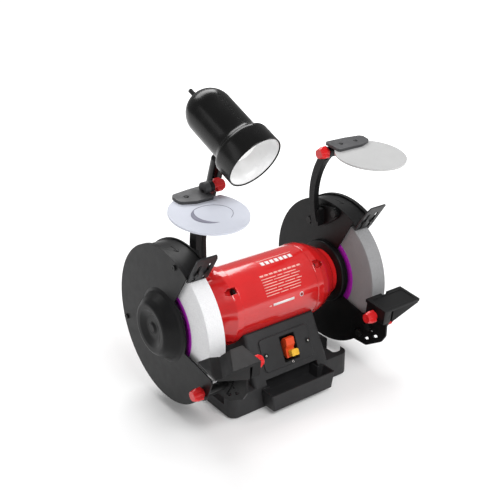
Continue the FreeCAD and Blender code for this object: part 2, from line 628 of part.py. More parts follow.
def hex_bolt(x_head, x_end, y, z):
    """M6 bolt along X; its head is on the x_head side and a nut sits at the far end."""
    step = 1 if x_head > x_end else -1
    shank = rod_x(min(x_head, x_end), max(x_head, x_end), 2.9, y, z)
    head = hexagon_x(min(x_head, x_head + 3.6 * step), max(x_head, x_head + 3.6 * step), 10.0, y, z)
    return joined([shank, head])


def guard_bolts():
    """Bolts that hold the guards, rest brackets and shield arms; all M6."""
    bolts = []
    for angle in TIE_ANGLES:
        y, z = polar(angle, NECK_BOLT_R)
        bolts.append(joined([rod_x(NECK_X1 - 13, NECK_X1 + 2, 2.45, y, z),
                             rod_x(NECK_X1 + 0.12 + SHEET, NECK_X1 + 4.3, 4.6, y, z)]))
    for y, z in BRACKET_BOLTS:
        bolts.append(hex_bolt(BRACKET_X0 - 0.3, GUARD_X1 + 2.0, y, z))
    for y, z in ARM_BOLTS:
        bolts.append(hex_bolt(ARM_PAD_X0 - 0.02, GUARD_X1 + 1.5, y, z))
    return [piece for bolt in bolts for piece in both_sides(bolt)]


# ---- spark deflectors ----
def deflector_frame(shape):
    """Place a shape drawn flat (x across, y outwards from the wheel, z to the front)."""
    placed = shape.copy()
    placed.rotate(ORIGIN, X_AXIS, 180 - OPEN_TOP)
    y, z = polar(OPEN_TOP, DEFLECTOR_SCREW_R)
    placed.translate(V(0, y, z))
    return placed


def spark_deflector():
    low, high = 101.8 - DEFLECTOR_SCREW_R, 152.5 - DEFLECTOR_SCREW_R
    plate = slab([(126.6, low, 1.5), (158.9, low, 1.5), (158.9, high, 3.0), (130.0, high, 3.0),
                  (126.6, high - 9, 2.0)], "z", 0.1, 0.1 + DEFLECTOR_T)
    cuts = []
    for x in DEFLECTOR_SCREWS_X:
        cuts.append(slab(rectangle(x - 2.4, x + 2.4, -15.4, 19.5, 2.3), "z", -1, 6))
    return deflector_frame(plate.cut(cuts))


# ---- tool rests ----
def rest_bracket():
    py, pz = REST_PIVOT
    plate = slab([(-68, 50, 5), (-100, 50.5, 10), (-130, 69.5, 8), (-138, 82, 8), (-138, pz + 8, 9),
                  (py + 9, pz + 8, 8), (py + 12, pz - 6, 4), (-86, 98, 6), (-68, 80, 6)],
                 "x", BRACKET_X0, BRACKET_X1)
    a, b = BRACKET_X0 - 1, BRACKET_X1 + 1
    cuts = [slot_x(a, b, y - SLIDE_IN - 0.3, z, y + SLIDE_OUT + 0.3, z, 3.2) for y, z in BRACKET_BOLTS]
    cuts.append(rod_x(a, b, STUD_R + 0.08, py, pz))
    for y, z in ((-98.0, 60.5), (-115.5, 71.5)):
        cuts.append(slot_x(a, b, y, z, y - 5.0, z + 3.2, 2.1))
    cuts.append(rod_x(a, b, 2.0, -110.0, 78.0))
    return plate.cut(cuts)


def tool_rest(side):
    py, pz = REST_PIVOT
    back, front, top = py + 21.0, py - 19.0, pz + 16.0
    plate = slab(rectangle(REST_X0, REST_X1, front, back, 1.2), "z", top - 4.0, top)
    rib_back = back - 4.0 if side == "right" else back - 0.6
    rib = slab([(REST_X0, pz - 6, 1), (REST_X0 + 18, pz - 6), (REST_X1 - 3, top - 5.5),
                (REST_X1 - 3, top - 1), (REST_X0, top - 1)], "y", front, rib_back)
    groove = box(BRACKET_X0 - 0.35, BRACKET_X1 + 0.35, front - 1, back + 1, pz - 20, pz + 12.4)
    body = joined([plate, rib]).cut(groove)
    cuts = [rod_x(REST_X0 - 1, REST_X0 + 40, STUD_R + 0.05, py, pz)]
    if side == "right":
        cuts.append(slab([(139, back + 1), (137, back - 4.5, 1.0), (150, back - 4.5, 1.0), (148, back + 1)],
                         "z", top - 6, top + 1))
        cuts.append(slab(rectangle(REST_X0 + 5, REST_X1 - 5, front + 5, back - 7, 3.0),
                         "z", top - 0.8, top + 1))
    else:
        vee = slab([(-14, top + 0.1), (0, top - 4.6), (14, top + 0.1)], "y", -60, 60)
        vee.rotate(ORIGIN, Z_AXIS, DRILL_ANGLE)
        vee.translate(V(155.0, (front + back) / 2, 0))
        cuts.append(vee)
    body = body.cut(cuts)
    return turn_yz(body, REST_TILT, py, pz)


def clamp_knob(x_face, x_end, y, z):
    """Three-lobed knob along X: x_face is where its hub seats and x_end is the tip of its stud."""
    step = 1 if x_end > x_face else -1
    tip, inner = 12.5, 6.0
    points = []
    for i in range(6):
        radius, corner = (tip, 2.6) if i % 2 == 0 else (inner, 3.0)
        a = math.radians(90 + 60 * i)
        points.append((y + radius * math.cos(a), z + radius * math.sin(a), corner))
    a, b = x_face - 3.0 * step, x_face - 16.0 * step
    head = slab(points, "x", min(a, b), max(a, b))
    crown = Part.makeCone(13.2, 6.5, 13.0, V(a, y, z), X_AXIS * -step)
    hub = rod_x(min(x_face, a), max(x_face, a), 6.4, y, z)
    core = rod_x(min(a, b), max(a, b), 6.6, y, z)
    stud = rod_x(min(a, x_end), max(a, x_end), STUD_R, y, z)
    return joined([head.common(crown), hub, core, stud])


def rest_knob():
    return clamp_knob(REST_X0 - 0.1, REST_X0 + 32.0, *REST_PIVOT)


def cover_knob():
    return clamp_knob(COVER_X1 + 0.1, GUARD_X1 + 0.5, *COVER_KNOB)


# ---- eye shields ----
def through(a, m, b):
    """Centre and radius of the circle through three (y, z) points."""
    d = 2 * (a[0] * (m[1] - b[1]) + m[0] * (b[1] - a[1]) + b[0] * (a[1] - m[1]))
    sa, sm, sb = (p[0] ** 2 + p[1] ** 2 for p in (a, m, b))
    cy = (sa * (m[1] - b[1]) + sm * (b[1] - a[1]) + sb * (a[1] - m[1])) / d
    cz = (sa * (b[0] - m[0]) + sm * (a[0] - b[0]) + sb * (m[0] - a[0])) / d
    return (cy, cz), math.hypot(a[0] - cy, a[1] - cz)


def arc_strip(a, m, b, inner, outer, x0, x1):
    """Curved flat bar whose centre line passes a, m and b, between two offsets from it."""
    (cy, cz), radius = through(a, m, b)

    def at(point, offset):
        scale = (radius + offset) / radius
        return V(x0, cy + (point[0] - cy) * scale, cz + (point[1] - cz) * scale)
    edges = [
        Part.Arc(at(a, inner), at(m, inner), at(b, inner)).toShape(),
        Part.LineSegment(at(b, inner), at(b, outer)).toShape(),
        Part.Arc(at(b, outer), at(m, outer), at(a, outer)).toShape(),
        Part.LineSegment(at(a, outer), at(a, inner)).toShape(),
    ]
    return Part.Face(Part.Wire(edges)).extrude(V(x1 - x0, 0, 0))


def shield_arm(side):
    s = SHIELD[side]
    py, pz = s["pivot"]
    half = ARM_W / 2
    bar = arc_strip(s["base"], s["mid"], s["pivot"], -half, half, ARM_X0, ARM_X1)
    tip = rod_x(ARM_X0, ARM_X1, half, py, pz)
    rib = arc_strip(s["base"], s["mid"], s["pivot"], -half, -half + 3.0, ARM_X0 - 3.0, ARM_X1)
    rib = rib.cut(rod_x(ARM_X0 - 6, ARM_X0, 11.0, py, pz))
    pad = slab([(38, 200, 6), (38, 212, 6), (16, 236, 6), (-22, 242, 7), (-30, 232, 6), (-22, 224, 6),
                (4, 206, 5), (24, 199, 6)], "x", ARM_PAD_X0, GUARD_X0 - 0.05)
    by = s["base"][0]
    foot = slab(rectangle(by - 7, by + 8, s["foot"], 234, 3.0), "x", ARM_X0, ARM_PAD_X0 + 1)
    body = joined([bar, tip, rib, pad, foot])
    cuts = [rod_x(100, 140, STUD_R + 0.08, py, pz)]
    cuts += [rod_x(100, 140, 3.0, y, z) for y, z in ARM_BOLTS]
    return body.cut(cuts)


def clip_outline(x0, x1, y0, depth):
    return [(x0, y0 - depth, 4.0), (x1 - 22, y0 - depth, 14.0), (x1 - 2, y0 - depth + 7, 8.0),
            (x1, y0 - 4, 7.0), (x1 - 30, y0, 12.0), (x0, y0 + 1, 4.0)]


def shield_parts(side):
    """Clip and lens, drawn level about the pivot and then tipped."""
    s = SHIELD[side]
    py, pz = s["pivot"]
    reach, rise = s["reach"], s["rise"]
    wing_x0, wing_x1, depth = s["wing"]
    lens_y = py - reach
    wing_y = lens_y + LENS_R + 6.0
    z = pz + rise
    wing = slab(clip_outline(wing_x0, wing_x1, wing_y, depth), "z", z, z + 4.0)
    x0, x1 = ARM_X1 + 0.35, ARM_X1 + 4.4
    rim = math.sqrt(LENS_R ** 2 - (LENS_OUT - 7.0) ** 2)
    low, high = max(wing_y - depth + 3, lens_y + rim + 2), wing_y - 2
    seat = z + (3.9 if rise > 0 else 0.1)
    web = slab([(low, seat), (py - 8, pz), (py + 8, pz), (high, seat)], "x", x0, x1)
    hub = rod_x(x0, x0 + 8.0, 8.0, py, pz)
    clip = joined([wing, web, hub])
    spots = [(ARM_X1 + 6.5, wing_y - 15.0), (148.0, wing_y - 16.0)]
    cuts = [rod_x(x0 - 1, x0 + 6.4, STUD_R + 0.05, py, pz)]
    cuts += [rod(V(x, y, z + 2.2), Z_AXIS, 3.4, 5.0) for x, y in spots]
    cuts += [rod(V(x, y, z - 5), Z_AXIS, 1.7, 20.0) for x, y in spots]
    clip = clip.cut(cuts)
    lens = rod(V(ARM_X1 - 3.0 + LENS_OUT, lens_y, z - LENS_T - 0.05), Z_AXIS, LENS_R, LENS_T)
    lens = lens.cut([rod(V(x, y, z - 5), Z_AXIS, 1.7, 20.0) for x, y in spots[1:]])
    lens = lens.cut(rod_x(ARM_X0 - 30, x0 + 8.6, 13.0, py, pz))
    return [turn_yz(piece, s["tilt"], py, pz) for piece in (clip, lens)]


def shield_knob(side):
    return clamp_knob(ARM_X0 - 0.1, ARM_X1 + 6.3, *SHIELD[side]["pivot"])


# ---- lamp ----
def neck_path(start, heading, steps):
    """Planar path at constant x: steps of (length, turn towards the front in degrees)."""
    y, z = start
    edges = []
    for length, turn in steps:
        a = math.radians(heading)
        if abs(turn) < 1e-9:
            end = (y - length * math.sin(a), z + length * math.cos(a))
            edges.append(Part.LineSegment(V(NECK_X, y, z), V(NECK_X, *end)).toShape())
        else:
            t = math.radians(turn)
            radius = length / t
            cy, cz = y - radius * math.cos(a), z - radius * math.sin(a)
            mid = (cy + radius * math.cos(a + t / 2), cz + radius * math.sin(a + t / 2))
            end = (cy + radius * math.cos(a + t), cz + radius * math.sin(a + t))
            edges.append(Part.Arc(V(NECK_X, y, z), V(NECK_X, *mid), V(NECK_X, *end)).toShape())
        heading += turn
        y, z = end
    return edges, (y, z), heading


def neck_tube(start, heading, steps, outer=NECK_TUBE_R, inner=4.0):
    edges, end, last = neck_path(start, heading, steps)
    a = math.radians(heading)
    direction = V(0, -math.sin(a), math.cos(a))
    spine = Part.Wire(edges)
    tubes = []
    for radius in (outer, inner):
        profile = Part.Wire(Part.makeCircle(radius, V(NECK_X, *start), direction))
        tubes.append(spine.makePipeShell([profile], True, False))
    return tubes[0].cut(tubes[1]), end, last


def step_on(point, heading, length):
    a = math.radians(heading)
    return point[0] - length * math.sin(a), point[1] + length * math.cos(a)


def gooseneck():
    """The three stretches of the flexible neck and the points where they bend."""
    lower, end1, head1 = neck_tube(NECK_START, 0.0, LOWER_STEPS)
    middle, end2, head2 = neck_tube(step_on(end1, head1, JOINT_GAP), head1, MIDDLE_STEPS)
    upper, end3, head3 = neck_tube(step_on(end2, head2, JOINT_GAP), head2, UPPER_STEPS)
    bends = [step_on(end1, head1, JOINT_GAP / 2), step_on(end2, head2, JOINT_GAP / 2)]
    nut = slab([(NECK_X + 12 * math.cos(math.radians(60 * i)), NECK_Y + 12 * math.sin(math.radians(60 * i)))
                for i in range(6)], "z", NECK_Z + 0.05, NECK_Z + 7)
    collar = rod(V(NECK_X, NECK_Y, NECK_Z + 6), Z_AXIS, 8.2, 6.0)
    thread = rod(V(NECK_X, NECK_Y, NECK_Z - 12), Z_AXIS, 4.95, 13.0)
    bore = rod(V(NECK_X, NECK_Y, NECK_Z - 20), Z_AXIS, 3.4, 34.0)
    lower = joined([lower, nut.fuse([collar, thread]).cut(bore)])
    return lower, middle, upper, bends, end3, head3


def lamp_sleeve(start, heading):
    """Smooth handle on top of the neck, ending in the ball that carries the lamp."""
    origin = V(NECK_X, *start)
    direction = (LAMP_PIVOT - origin).normalize()
    length = (LAMP_PIVOT - origin).Length
    profile = [(0, -3.0), (8.4, -3.0, 0.8), (9.4, 3.0, 2), (9.4, length - 24, 4), (3.4, length - 14, 1),
               (3.4, length - 4), (0, length - 4)]
    body = turned_z(profile)
    body = joined([body, Part.makeSphere(7.5, V(0, 0, length))])
    body = body.cut(rod(V(0, 0, -4), Z_AXIS, NECK_TUBE_R + 0.3, 9.0))
    body.Placement = FreeCAD.Placement(origin, FreeCAD.Rotation(Z_AXIS, direction))
    return body.cut(rod(LAMP_PIVOT - lamp_hinge() * 9, lamp_hinge(), 2.3, 18.0))


def lamp_hinge():
    return lamp_arm().cross(LAMP_AXIS).normalize()


def lamp_foot():
    """Point on the shade's axis nearest the swivel."""
    axis = V(LAMP_AXIS).normalize()
    return LAMP_APEX + axis * (LAMP_PIVOT - LAMP_APEX).dot(axis)


def lamp_arm():
    return (LAMP_PIVOT - lamp_foot()).normalize()


def on_lamp(shape):
    """Place a shape drawn about Z (apex at the origin, mouth upwards, x across) on the lamp."""
    placed = shape.copy()
    placed.Placement = FreeCAD.Placement(LAMP_APEX, FreeCAD.Rotation(lamp_hinge(), V(), LAMP_AXIS, "ZXY"))
    return placed


def shade_profile(offset, length, rim):
    r = SHADE_R - offset
    return [(0, offset), (r, offset, r - 0.5), (r, 84.0 + offset / 2, 5.0), (rim, 93.0 + offset / 2, 4.0),
            (rim, length), (0, length)]


def lamp_shade():
    outer = turned_z(shade_profile(0.0, SHADE_L, SHADE_RIM_R))
    inner = turned_z(shade_profile(1.4, SHADE_L + 1, SHADE_RIM_R - 1.4))
    return on_lamp(outer.cut([inner, rod(V(0, 0, -2), Z_AXIS, 3.05, 8.0)]))


def lamp_reflector():
    mouth, t = SHADE_RIM_R - 1.7, 0.9
    outer = [(27.0, 60.0), (27.2, 86.0, 8), (mouth - 0.5, 99.0, 5), (mouth - 0.3, SHADE_L - 1.2)]
    inner = [(r - t, z) + tuple(rest) for r, z, *rest in reversed(outer)]
    return on_lamp(turned_z(outer + inner))


def lamp_socket():
    body = turned_z([(0, 10.0), (15.0, 10.0, 2), (15.0, 50.0, 1), (0, 50.0)])
    stem = rod(V(0, 0, 2.0), Z_AXIS, 5.0, 9.0)
    return on_lamp(joined([body, stem]).cut([rod(V(0, 0, 24), Z_AXIS, 13.1, 30.0),
                                             rod(V(0, 0, -1), Z_AXIS, 2.06, 14.0)]))


def lamp_bulb():
    glass = turned_z([(0, 50.0), (13.0, 50.0, 2), (24.0, 78.0, 10), (24.0, 92.0, 7),
                      (12.0, 98.0, 30), (0, 98.5)])
    base = turned_z([(0, 26.0), (9.0, 26.0, 2), (13.0, 31.0, 1), (13.0, 50.5), (0, 50.5)])
    return on_lamp(joined([glass, base]))


def lamp_switch():
    stem = rod(V(0, 0, -12.5), Z_AXIS, 2.0, 24.0)
    grip = turned_z([(0, -12.5), (2.9, -12.5, 0.8), (2.9, -4.0, 0.4), (0, -4.0)])
    return on_lamp(joined([stem, grip]))


def lamp_bracket():
    """Fork on the shade that grips the swivel ball, with its clamp screw."""
    reach = (LAMP_PIVOT - lamp_foot()).Length
    fork = []
    for sign in (-1, 1):
        x0, x1 = (8.3, 11.1) if sign > 0 else (-11.1, -8.3)
        cheek = slab([(SHADE_R - 3.0, -10, 0), (reach, -7.5, 0), (reach + 7.5, -7.5, 7.4),
                      (reach + 7.5, 7.5, 7.4), (reach, 7.5, 0), (SHADE_R - 3.0, 10, 0)], "x", x0, x1)
        fork.append(cheek)
    bridge = box(-11.1, 11.1, SHADE_R - 3.0, SHADE_R + 3.0, -11, 11)
    pin = rod(V(-12.5, reach, 0), X_AXIS, 2.0, 25.0)
    heads = [rod(V(-13.9, reach, 0), X_AXIS, 4.5, 3.0), rod(V(10.9, reach, 0), X_AXIS, 4.5, 3.0)]
    body = joined(fork + [bridge, pin] + heads)
    along = (LAMP_PIVOT - LAMP_APEX).dot(V(LAMP_AXIS).normalize())
    body.translate(V(0, 0, along))
    return on_lamp(body.cut(rod(V(0, 0, 0), Z_AXIS, SHADE_R + 0.1, 200.0)))


# ---- screws on the body ----
def body_screws():
    """End bell screws, switch plate screws and bottom plate screws."""
    screws = []
    for y, z in tie_points():
        screws += both_sides(pan_screw_x(SHELL_X + TIE_SEAT + 0.02, 15.0, y, z, 2.05, 4.6, 3.0))
    for x in PLATE_SCREWS_X:
        screw = pan_screw_z(10.0, 1.6, 3.4, 1.8)
        screw.translate(V(x, 0, 2.22))
        screws.append(on_slope(screw))
    for x, y in FLOOR_SCREWS:
        screws.append(joined([rod(V(x, y, 0.4), Z_AXIS, 3.4, 1.58), rod(V(x, y, 1.0), Z_AXIS, 1.6, 11.0)]))
    return screws


def build():
    os.makedirs("parts", exist_ok=True)
    save("base_housing", base_housing())
    save("bottom_plate", bottom_plate())
    save("rubber_feet", rubber_feet())
    save("cable_gland", cable_gland())
    save("capacitor", capacitor())
    save("coolant_tray", coolant_tray())
    save("switch_plate", switch_plate())
    save("switch_housing", switch_housing())
    save("switch_paddle", switch_paddle())
    save("switch_key", switch_key())
    save("motor_shell", motor_shell())
    save("left_end_bell", left_end_bell())
    save("right_end_bell", end_bell("right"))
    save("body_screws", body_screws())
    save("stator_core", stator_core())
    save("stator_windings", stator_windings())
    save("bearings", bearings())
    save("rotor_shaft", rotor_shaft())
    save("rotor_core", rotor_core())
    save("wheel_bushings", wheel_bushings())
    save("wheel_blotters", blotters())
    save("wheel_flanges", wheel_flanges())
    save("wheel_nuts", wheel_nuts())
    save("guard_screws", guard_screws())
    save("guard_bolts", guard_bolts())
    save("guard_stays", guard_stays())
    for side, sign in SIDES:
        save(side + "_wheel", on_side(sign, wheel()))
        save(side + "_guard", on_side(sign, guard()))
        save(side + "_guard_cover", on_side(sign, guard_cover()))
        save(side + "_cover_knob", on_side(sign, cover_knob()))
        save(side + "_spark_deflector", on_side(sign, spark_deflector()))
        save(side + "_rest_bracket", on_side(sign, rest_bracket()))
        save(side + "_tool_rest", on_side(sign, tool_rest(side)))
        save(side + "_rest_knob", on_side(sign, rest_knob()))
        save(side + "_shield_arm", on_side(sign, shield_arm(side)))
        clip, lens = shield_parts(side)
        save(side + "_shield_clip", on_side(sign, clip))
        save(side + "_shield_lens", on_side(sign, lens))
        save(side + "_shield_knob", on_side(sign, shield_knob(side)))
    lower, middle, upper, bends, top, heading = gooseneck()
    save("gooseneck_lower", lower)
    save("gooseneck_middle", middle)
    save("gooseneck_upper", upper)
    save("lamp_sleeve", lamp_sleeve(step_on(top, heading, -2.0), heading))
    save("lamp_bracket", lamp_bracket())
    save("lamp_shade", lamp_shade())
    save("lamp_reflector", lamp_reflector())
    save("lamp_socket", lamp_socket())
    save("lamp_bulb", lamp_bulb())
    save("lamp_switch", lamp_switch())
    print("neck bends (y, z):", [tuple(round(c, 3) for c in bend) for bend in bends])
    print("lamp hinge axis:", [round(c, 5) for c in lamp_hinge()])
    print("lamp axis:", [round(c, 5) for c in V(LAMP_AXIS).normalize()])


build()
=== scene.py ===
"""Looks of the bench grinder: materials, finished surfaces, trim, floor, lights and camera."""

import json
import math

import bmesh
import bpy
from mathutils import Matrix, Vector, noise

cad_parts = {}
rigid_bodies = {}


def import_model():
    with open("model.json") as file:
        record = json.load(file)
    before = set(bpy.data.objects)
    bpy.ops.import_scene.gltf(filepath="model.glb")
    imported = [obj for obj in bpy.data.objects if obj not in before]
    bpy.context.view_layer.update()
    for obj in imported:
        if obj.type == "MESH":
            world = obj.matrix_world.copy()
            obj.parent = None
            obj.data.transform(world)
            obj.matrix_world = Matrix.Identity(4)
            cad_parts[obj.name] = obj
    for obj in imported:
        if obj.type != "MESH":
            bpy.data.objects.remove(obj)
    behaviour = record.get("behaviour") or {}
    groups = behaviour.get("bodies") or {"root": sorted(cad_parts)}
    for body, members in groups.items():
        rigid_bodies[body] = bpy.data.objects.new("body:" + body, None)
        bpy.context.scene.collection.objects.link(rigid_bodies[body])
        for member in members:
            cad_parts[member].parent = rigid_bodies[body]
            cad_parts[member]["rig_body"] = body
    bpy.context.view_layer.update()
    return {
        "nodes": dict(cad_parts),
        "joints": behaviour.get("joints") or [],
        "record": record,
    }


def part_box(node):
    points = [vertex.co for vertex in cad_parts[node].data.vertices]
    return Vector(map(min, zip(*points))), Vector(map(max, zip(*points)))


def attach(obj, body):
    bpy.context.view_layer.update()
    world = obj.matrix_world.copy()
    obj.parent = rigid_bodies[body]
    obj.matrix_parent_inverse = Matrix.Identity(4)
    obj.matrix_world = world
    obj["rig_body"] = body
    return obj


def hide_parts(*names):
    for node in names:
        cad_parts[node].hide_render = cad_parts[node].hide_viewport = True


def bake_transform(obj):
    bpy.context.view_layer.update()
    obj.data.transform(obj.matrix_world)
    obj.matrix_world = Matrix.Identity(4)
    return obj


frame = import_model()

MM = 0.001
NODES = frame["nodes"]
SLOTS = {part["node"]: part["material_slot"] for part in frame["record"]["subparts"]}
JOINTS = {joint["name"]: joint for joint in frame["joints"]}
SIDES = (("left", -1), ("right", 1))


def node_radius(node):
    """Radius of a round node that lies along the motor's axis."""
    low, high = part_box(node)
    return (high.z - low.z) / 2


# ---- places taken from the frame, in metres ----
AXIS_Z = JOINTS["rotor_spin"]["pos_m"][2]
MOTOR_R = node_radius("motor_shell")
WHEEL_R = node_radius("left_wheel")
SHAFT = Vector((0, 0, AXIS_Z))


# ---- material building ----
def tint(colour, factor):
    """A darker or lighter colour, kept at 1 or less."""
    return tuple(min(1.0, channel * factor) for channel in colour)


class Finish:
    """One node material. Values that don't vary are set on the shader's own sockets."""

    def __init__(self, name, colour, roughness, **sockets):
        self.material = bpy.data.materials.new(name)
        self.material.use_nodes = True
        self.tree = self.material.node_tree
        self.shader = self.tree.nodes["Principled BSDF"]
        self.shader.inputs["Base Color"].default_value = (*colour[:3], 1)
        self.shader.inputs["Roughness"].default_value = roughness
        for socket, value in sockets.items():
            self.shader.inputs[socket.replace("_", " ")].default_value = value
        self.place = self.node("TexCoord").outputs["Object"]
        self.colour = None
        self.normal = None

    def node(self, kind, **values):
        """New shader node with its properties set."""
        made = self.tree.nodes.new("ShaderNode" + kind)
        for name, value in values.items():
            setattr(made, name, value)
        return made

    def link(self, output, target):
        self.tree.links.new(output, target)

    def noise(self, scale, detail, roughness=0.55, stretch=(1, 1, 1)):
        """Noise with features about 1/scale metres across."""
        mapping = self.node("Mapping")
        mapping.inputs["Scale"].default_value = stretch
        self.link(self.place, mapping.inputs["Vector"])
        made = self.node("TexNoise")
        made.inputs["Scale"].default_value = scale
        made.inputs["Detail"].default_value = detail
        made.inputs["Roughness"].default_value = roughness
        self.link(mapping.outputs["Vector"], made.inputs["Vector"])
        return made.outputs["Fac"]

    def cells(self, scale):
        """Distance from the nearest of many scattered points, which lie about 1/scale metres apart."""
        made = self.node("TexVoronoi")
        made.inputs["Scale"].default_value = scale
        self.link(self.place, made.inputs["Vector"])
        return made.outputs["Distance"]

    def spread(self, value, low, high, start=0.0, end=1.0):
        """The value, carried from low..high to start..end and held there."""
        made = self.node("MapRange")
        for name, number in (("From Min", low), ("From Max", high), ("To Min", start), ("To Max", end)):
            made.inputs[name].default_value = number
        self.link(value, made.inputs["Value"])
        return made.outputs["Result"]

    def times(self, first, second):
        """Product of two masks."""
        made = self.node("Math", operation="MULTIPLY")
        self.link(first, made.inputs[0])
        self.link(second, made.inputs[1])
        return made.outputs["Value"]

    def edges(self, radius):
        """Mask that is 1 along edges, where the surface turns within the radius."""
        slight, full = 0.996, 0.88          # cosines of the turn where the mask starts and where it is 1
        made = self.node("Bevel", samples=4)
        made.inputs["Radius"].default_value = radius
        dot = self.node("VectorMath", operation="DOT_PRODUCT")
        self.link(made.outputs["Normal"], dot.inputs[0])
        self.link(self.node("NewGeometry").outputs["Normal"], dot.inputs[1])
        return self.spread(dot.outputs["Value"], slight, full)

    def colours(self, value, *stops):
        """Base colour from a ramp of (position, colour) stops."""
        ramp = self.node("ValToRGB")
        elements = ramp.color_ramp.elements
        while len(elements) < len(stops):
            elements.new(0.5)
        for element, (position, colour) in zip(elements, stops):
            element.position = position
            element.color = (*colour[:3], 1)
        self.link(value, ramp.inputs["Fac"])
        self.link(ramp.outputs["Color"], self.shader.inputs["Base Color"])
        self.colour = ramp.outputs["Color"]
        return self

    def drift(self, value, colour, dark, light, start=0.3):
        """Base colour that drifts from a darker to a lighter tint of one colour."""
        return self.colours(value, (start, tint(colour, dark)), (0.7, tint(colour, light)))

    def over(self, share, colour):
        """Mix a second colour over the base colour by share."""
        mix = self.node("Mix", data_type="RGBA")
        self.link(share, mix.inputs["Factor"])
        self.link(self.colour, mix.inputs["A"])
        mix.inputs["B"].default_value = (*colour, 1)
        self.link(mix.outputs["Result"], self.shader.inputs["Base Color"])
        self.colour = mix.outputs["Result"]
        return self

    def shine(self, value, low, high):
        """Roughness that varies with value."""
        self.link(self.spread(value, 0.3, 0.7, low, high), self.shader.inputs["Roughness"])
        return self

    def rounded(self, radius):
        """Soft edges: the shading normal is averaged over a small radius."""
        made = self.node("Bevel", samples=4)
        made.inputs["Radius"].default_value = radius
        self.normal = made.outputs["Normal"]
        self.link(self.normal, self.shader.inputs["Normal"])
        return self

    def bump(self, height, depth, strength=1.0):
        """Small relief on top of any rounded edges."""
        made = self.node("Bump")
        made.inputs["Strength"].default_value = strength
        made.inputs["Distance"].default_value = depth
        self.link(height, made.inputs["Height"])
        if self.normal is not None:
            self.link(self.normal, made.inputs["Normal"])
        self.normal = made.outputs["Normal"]
        self.link(self.normal, self.shader.inputs["Normal"])
        return self


WORN_EDGE = (0.13, 0.13, 0.14)


def enamel(name, colour, roughness=0.2, coat=0.6, specular=0.5, peel=0.010, edge=0.7):
    """Sprayed gloss paint: faint orange peel, slight tone drift and thin spots on the edges."""
    f = Finish(name, colour, roughness, Coat_Weight=coat, Coat_Roughness=0.06, Specular_IOR_Level=specular)
    f.drift(f.noise(22, 5), colour, 0.90, 1.06)
    f.shine(f.noise(60, 6), roughness * 0.85, roughness * 1.2)
    if edge:
        f.over(f.times(f.edges(0.5 * MM), f.spread(f.noise(420, 3), 0.5, 0.62)), tint(colour, 0.5))
        f.rounded(edge * MM)
    return f.bump(f.noise(260, 2), peel * MM, 0.5).material


def powder_coat(name, colour, roughness, grain=1500, depth=0.022):
    """Textured powder paint with a fine pebble, dust in the tone and rubbed edges."""
    f = Finish(name, colour, roughness, Specular_IOR_Level=0.18)
    f.drift(f.noise(35, 4), colour, 0.88, 1.14)
    f.over(f.times(f.edges(0.4 * MM), f.spread(f.noise(260, 5), 0.46, 0.70, 0.0, 0.35)), WORN_EDGE)
    f.shine(f.noise(90, 5), roughness * 0.92, roughness * 1.08)
    return f.rounded(0.5 * MM).bump(f.noise(grain, 3), depth * MM).material


def moulded(name, colour, roughness, grain=1800, depth=0.03, **sockets):
    """Injection-moulded plastic: even colour, a fine spark-eroded grain and faint flow marks."""
    f = Finish(name, colour, roughness, Specular_IOR_Level=0.30, **sockets)
    f.drift(f.noise(28, 4, stretch=(1, 1, 0.35)), colour, 0.88, 1.14, 0.35)
    f.shine(f.noise(75, 4), roughness * 0.85, roughness * 1.2)
    return f.rounded(0.45 * MM).bump(f.noise(grain, 2), depth * MM).material


def machined(name, colour, roughness, stretch=(1, 1, 1)):
    """Bare or plated metal with fine tool marks across the stretch direction."""
    f = Finish(name, colour, roughness, Metallic=1.0)
    f.drift(f.noise(160, 5, stretch=stretch), colour, 0.7, 1.2)
    f.shine(f.noise(300, 4, stretch=stretch), roughness * 0.7, roughness * 1.4)
    return f.rounded(0.2 * MM).bump(f.noise(900, 2, stretch=stretch), 0.02 * MM).material


def abrasive(name, light, dark, pore):
    """Bonded grit: bright grains, darker bond and small open pores, with a rough skin."""
    f = Finish(name, light, 0.93, Specular_IOR_Level=0.25)
    f.colours(f.noise(1500, 3, 0.7), (0.32, dark), (0.5, light), (0.72, tint(light, 1.12)))
    f.over(f.spread(f.cells(1100), 0.16, 0.08), pore)
    f.over(f.spread(f.noise(45, 4), 0.5, 0.75, 0.0, 0.16), dark)
    height = f.times(f.noise(1300, 3, 0.7), f.spread(f.cells(1100), 0.05, 0.3))
    return f.rounded(0.4 * MM).bump(height, 0.22 * MM).material


def card(name, colour):
    """Pressed paper disc, fibrous, with a slight sheen of ink."""
    f = Finish(name, colour, 0.55, Specular_IOR_Level=0.4)
    f.drift(f.noise(700, 5, stretch=(1, 0.3, 1)), colour, 0.7, 1.35)
    return f.rounded(0.2 * MM).bump(f.noise(1300, 4), 0.04 * MM).material


def lens_plastic(name, colour, alpha, gloss=0.12, specular=0.4):
    """Milky clear plastic with faint hairline scratches."""
    f = Finish(name, colour, gloss, Alpha=alpha, Specular_IOR_Level=specular)
    f.drift(f.noise(30, 3), colour, 0.97, 1.02)
    f.shine(f.noise(500, 5, stretch=(1, 0.08, 1)), gloss * 0.9, gloss * 1.5)
    return f.bump(f.noise(700, 4, stretch=(1, 0.05, 1)), 0.005 * MM, 0.4).material


def ink(name, colour):
    """Screen-printed ink: flat, slightly uneven in tone."""
    f = Finish(name, colour, 0.45, Specular_IOR_Level=0.3)
    return f.drift(f.noise(300, 3), colour, 0.93, 1.0).material


def bulb_frost(name, colour, glow):
    """Frosted glass with a faint glow: painted light that brightens the bulb."""
    f = Finish(name, colour, 0.35, Emission_Color=(1.0, 0.98, 0.95, 1), Emission_Strength=glow)
    f.drift(f.noise(120, 3), colour, 0.94, 1.0)
    return f.bump(f.noise(2200, 2), 0.02 * MM).material


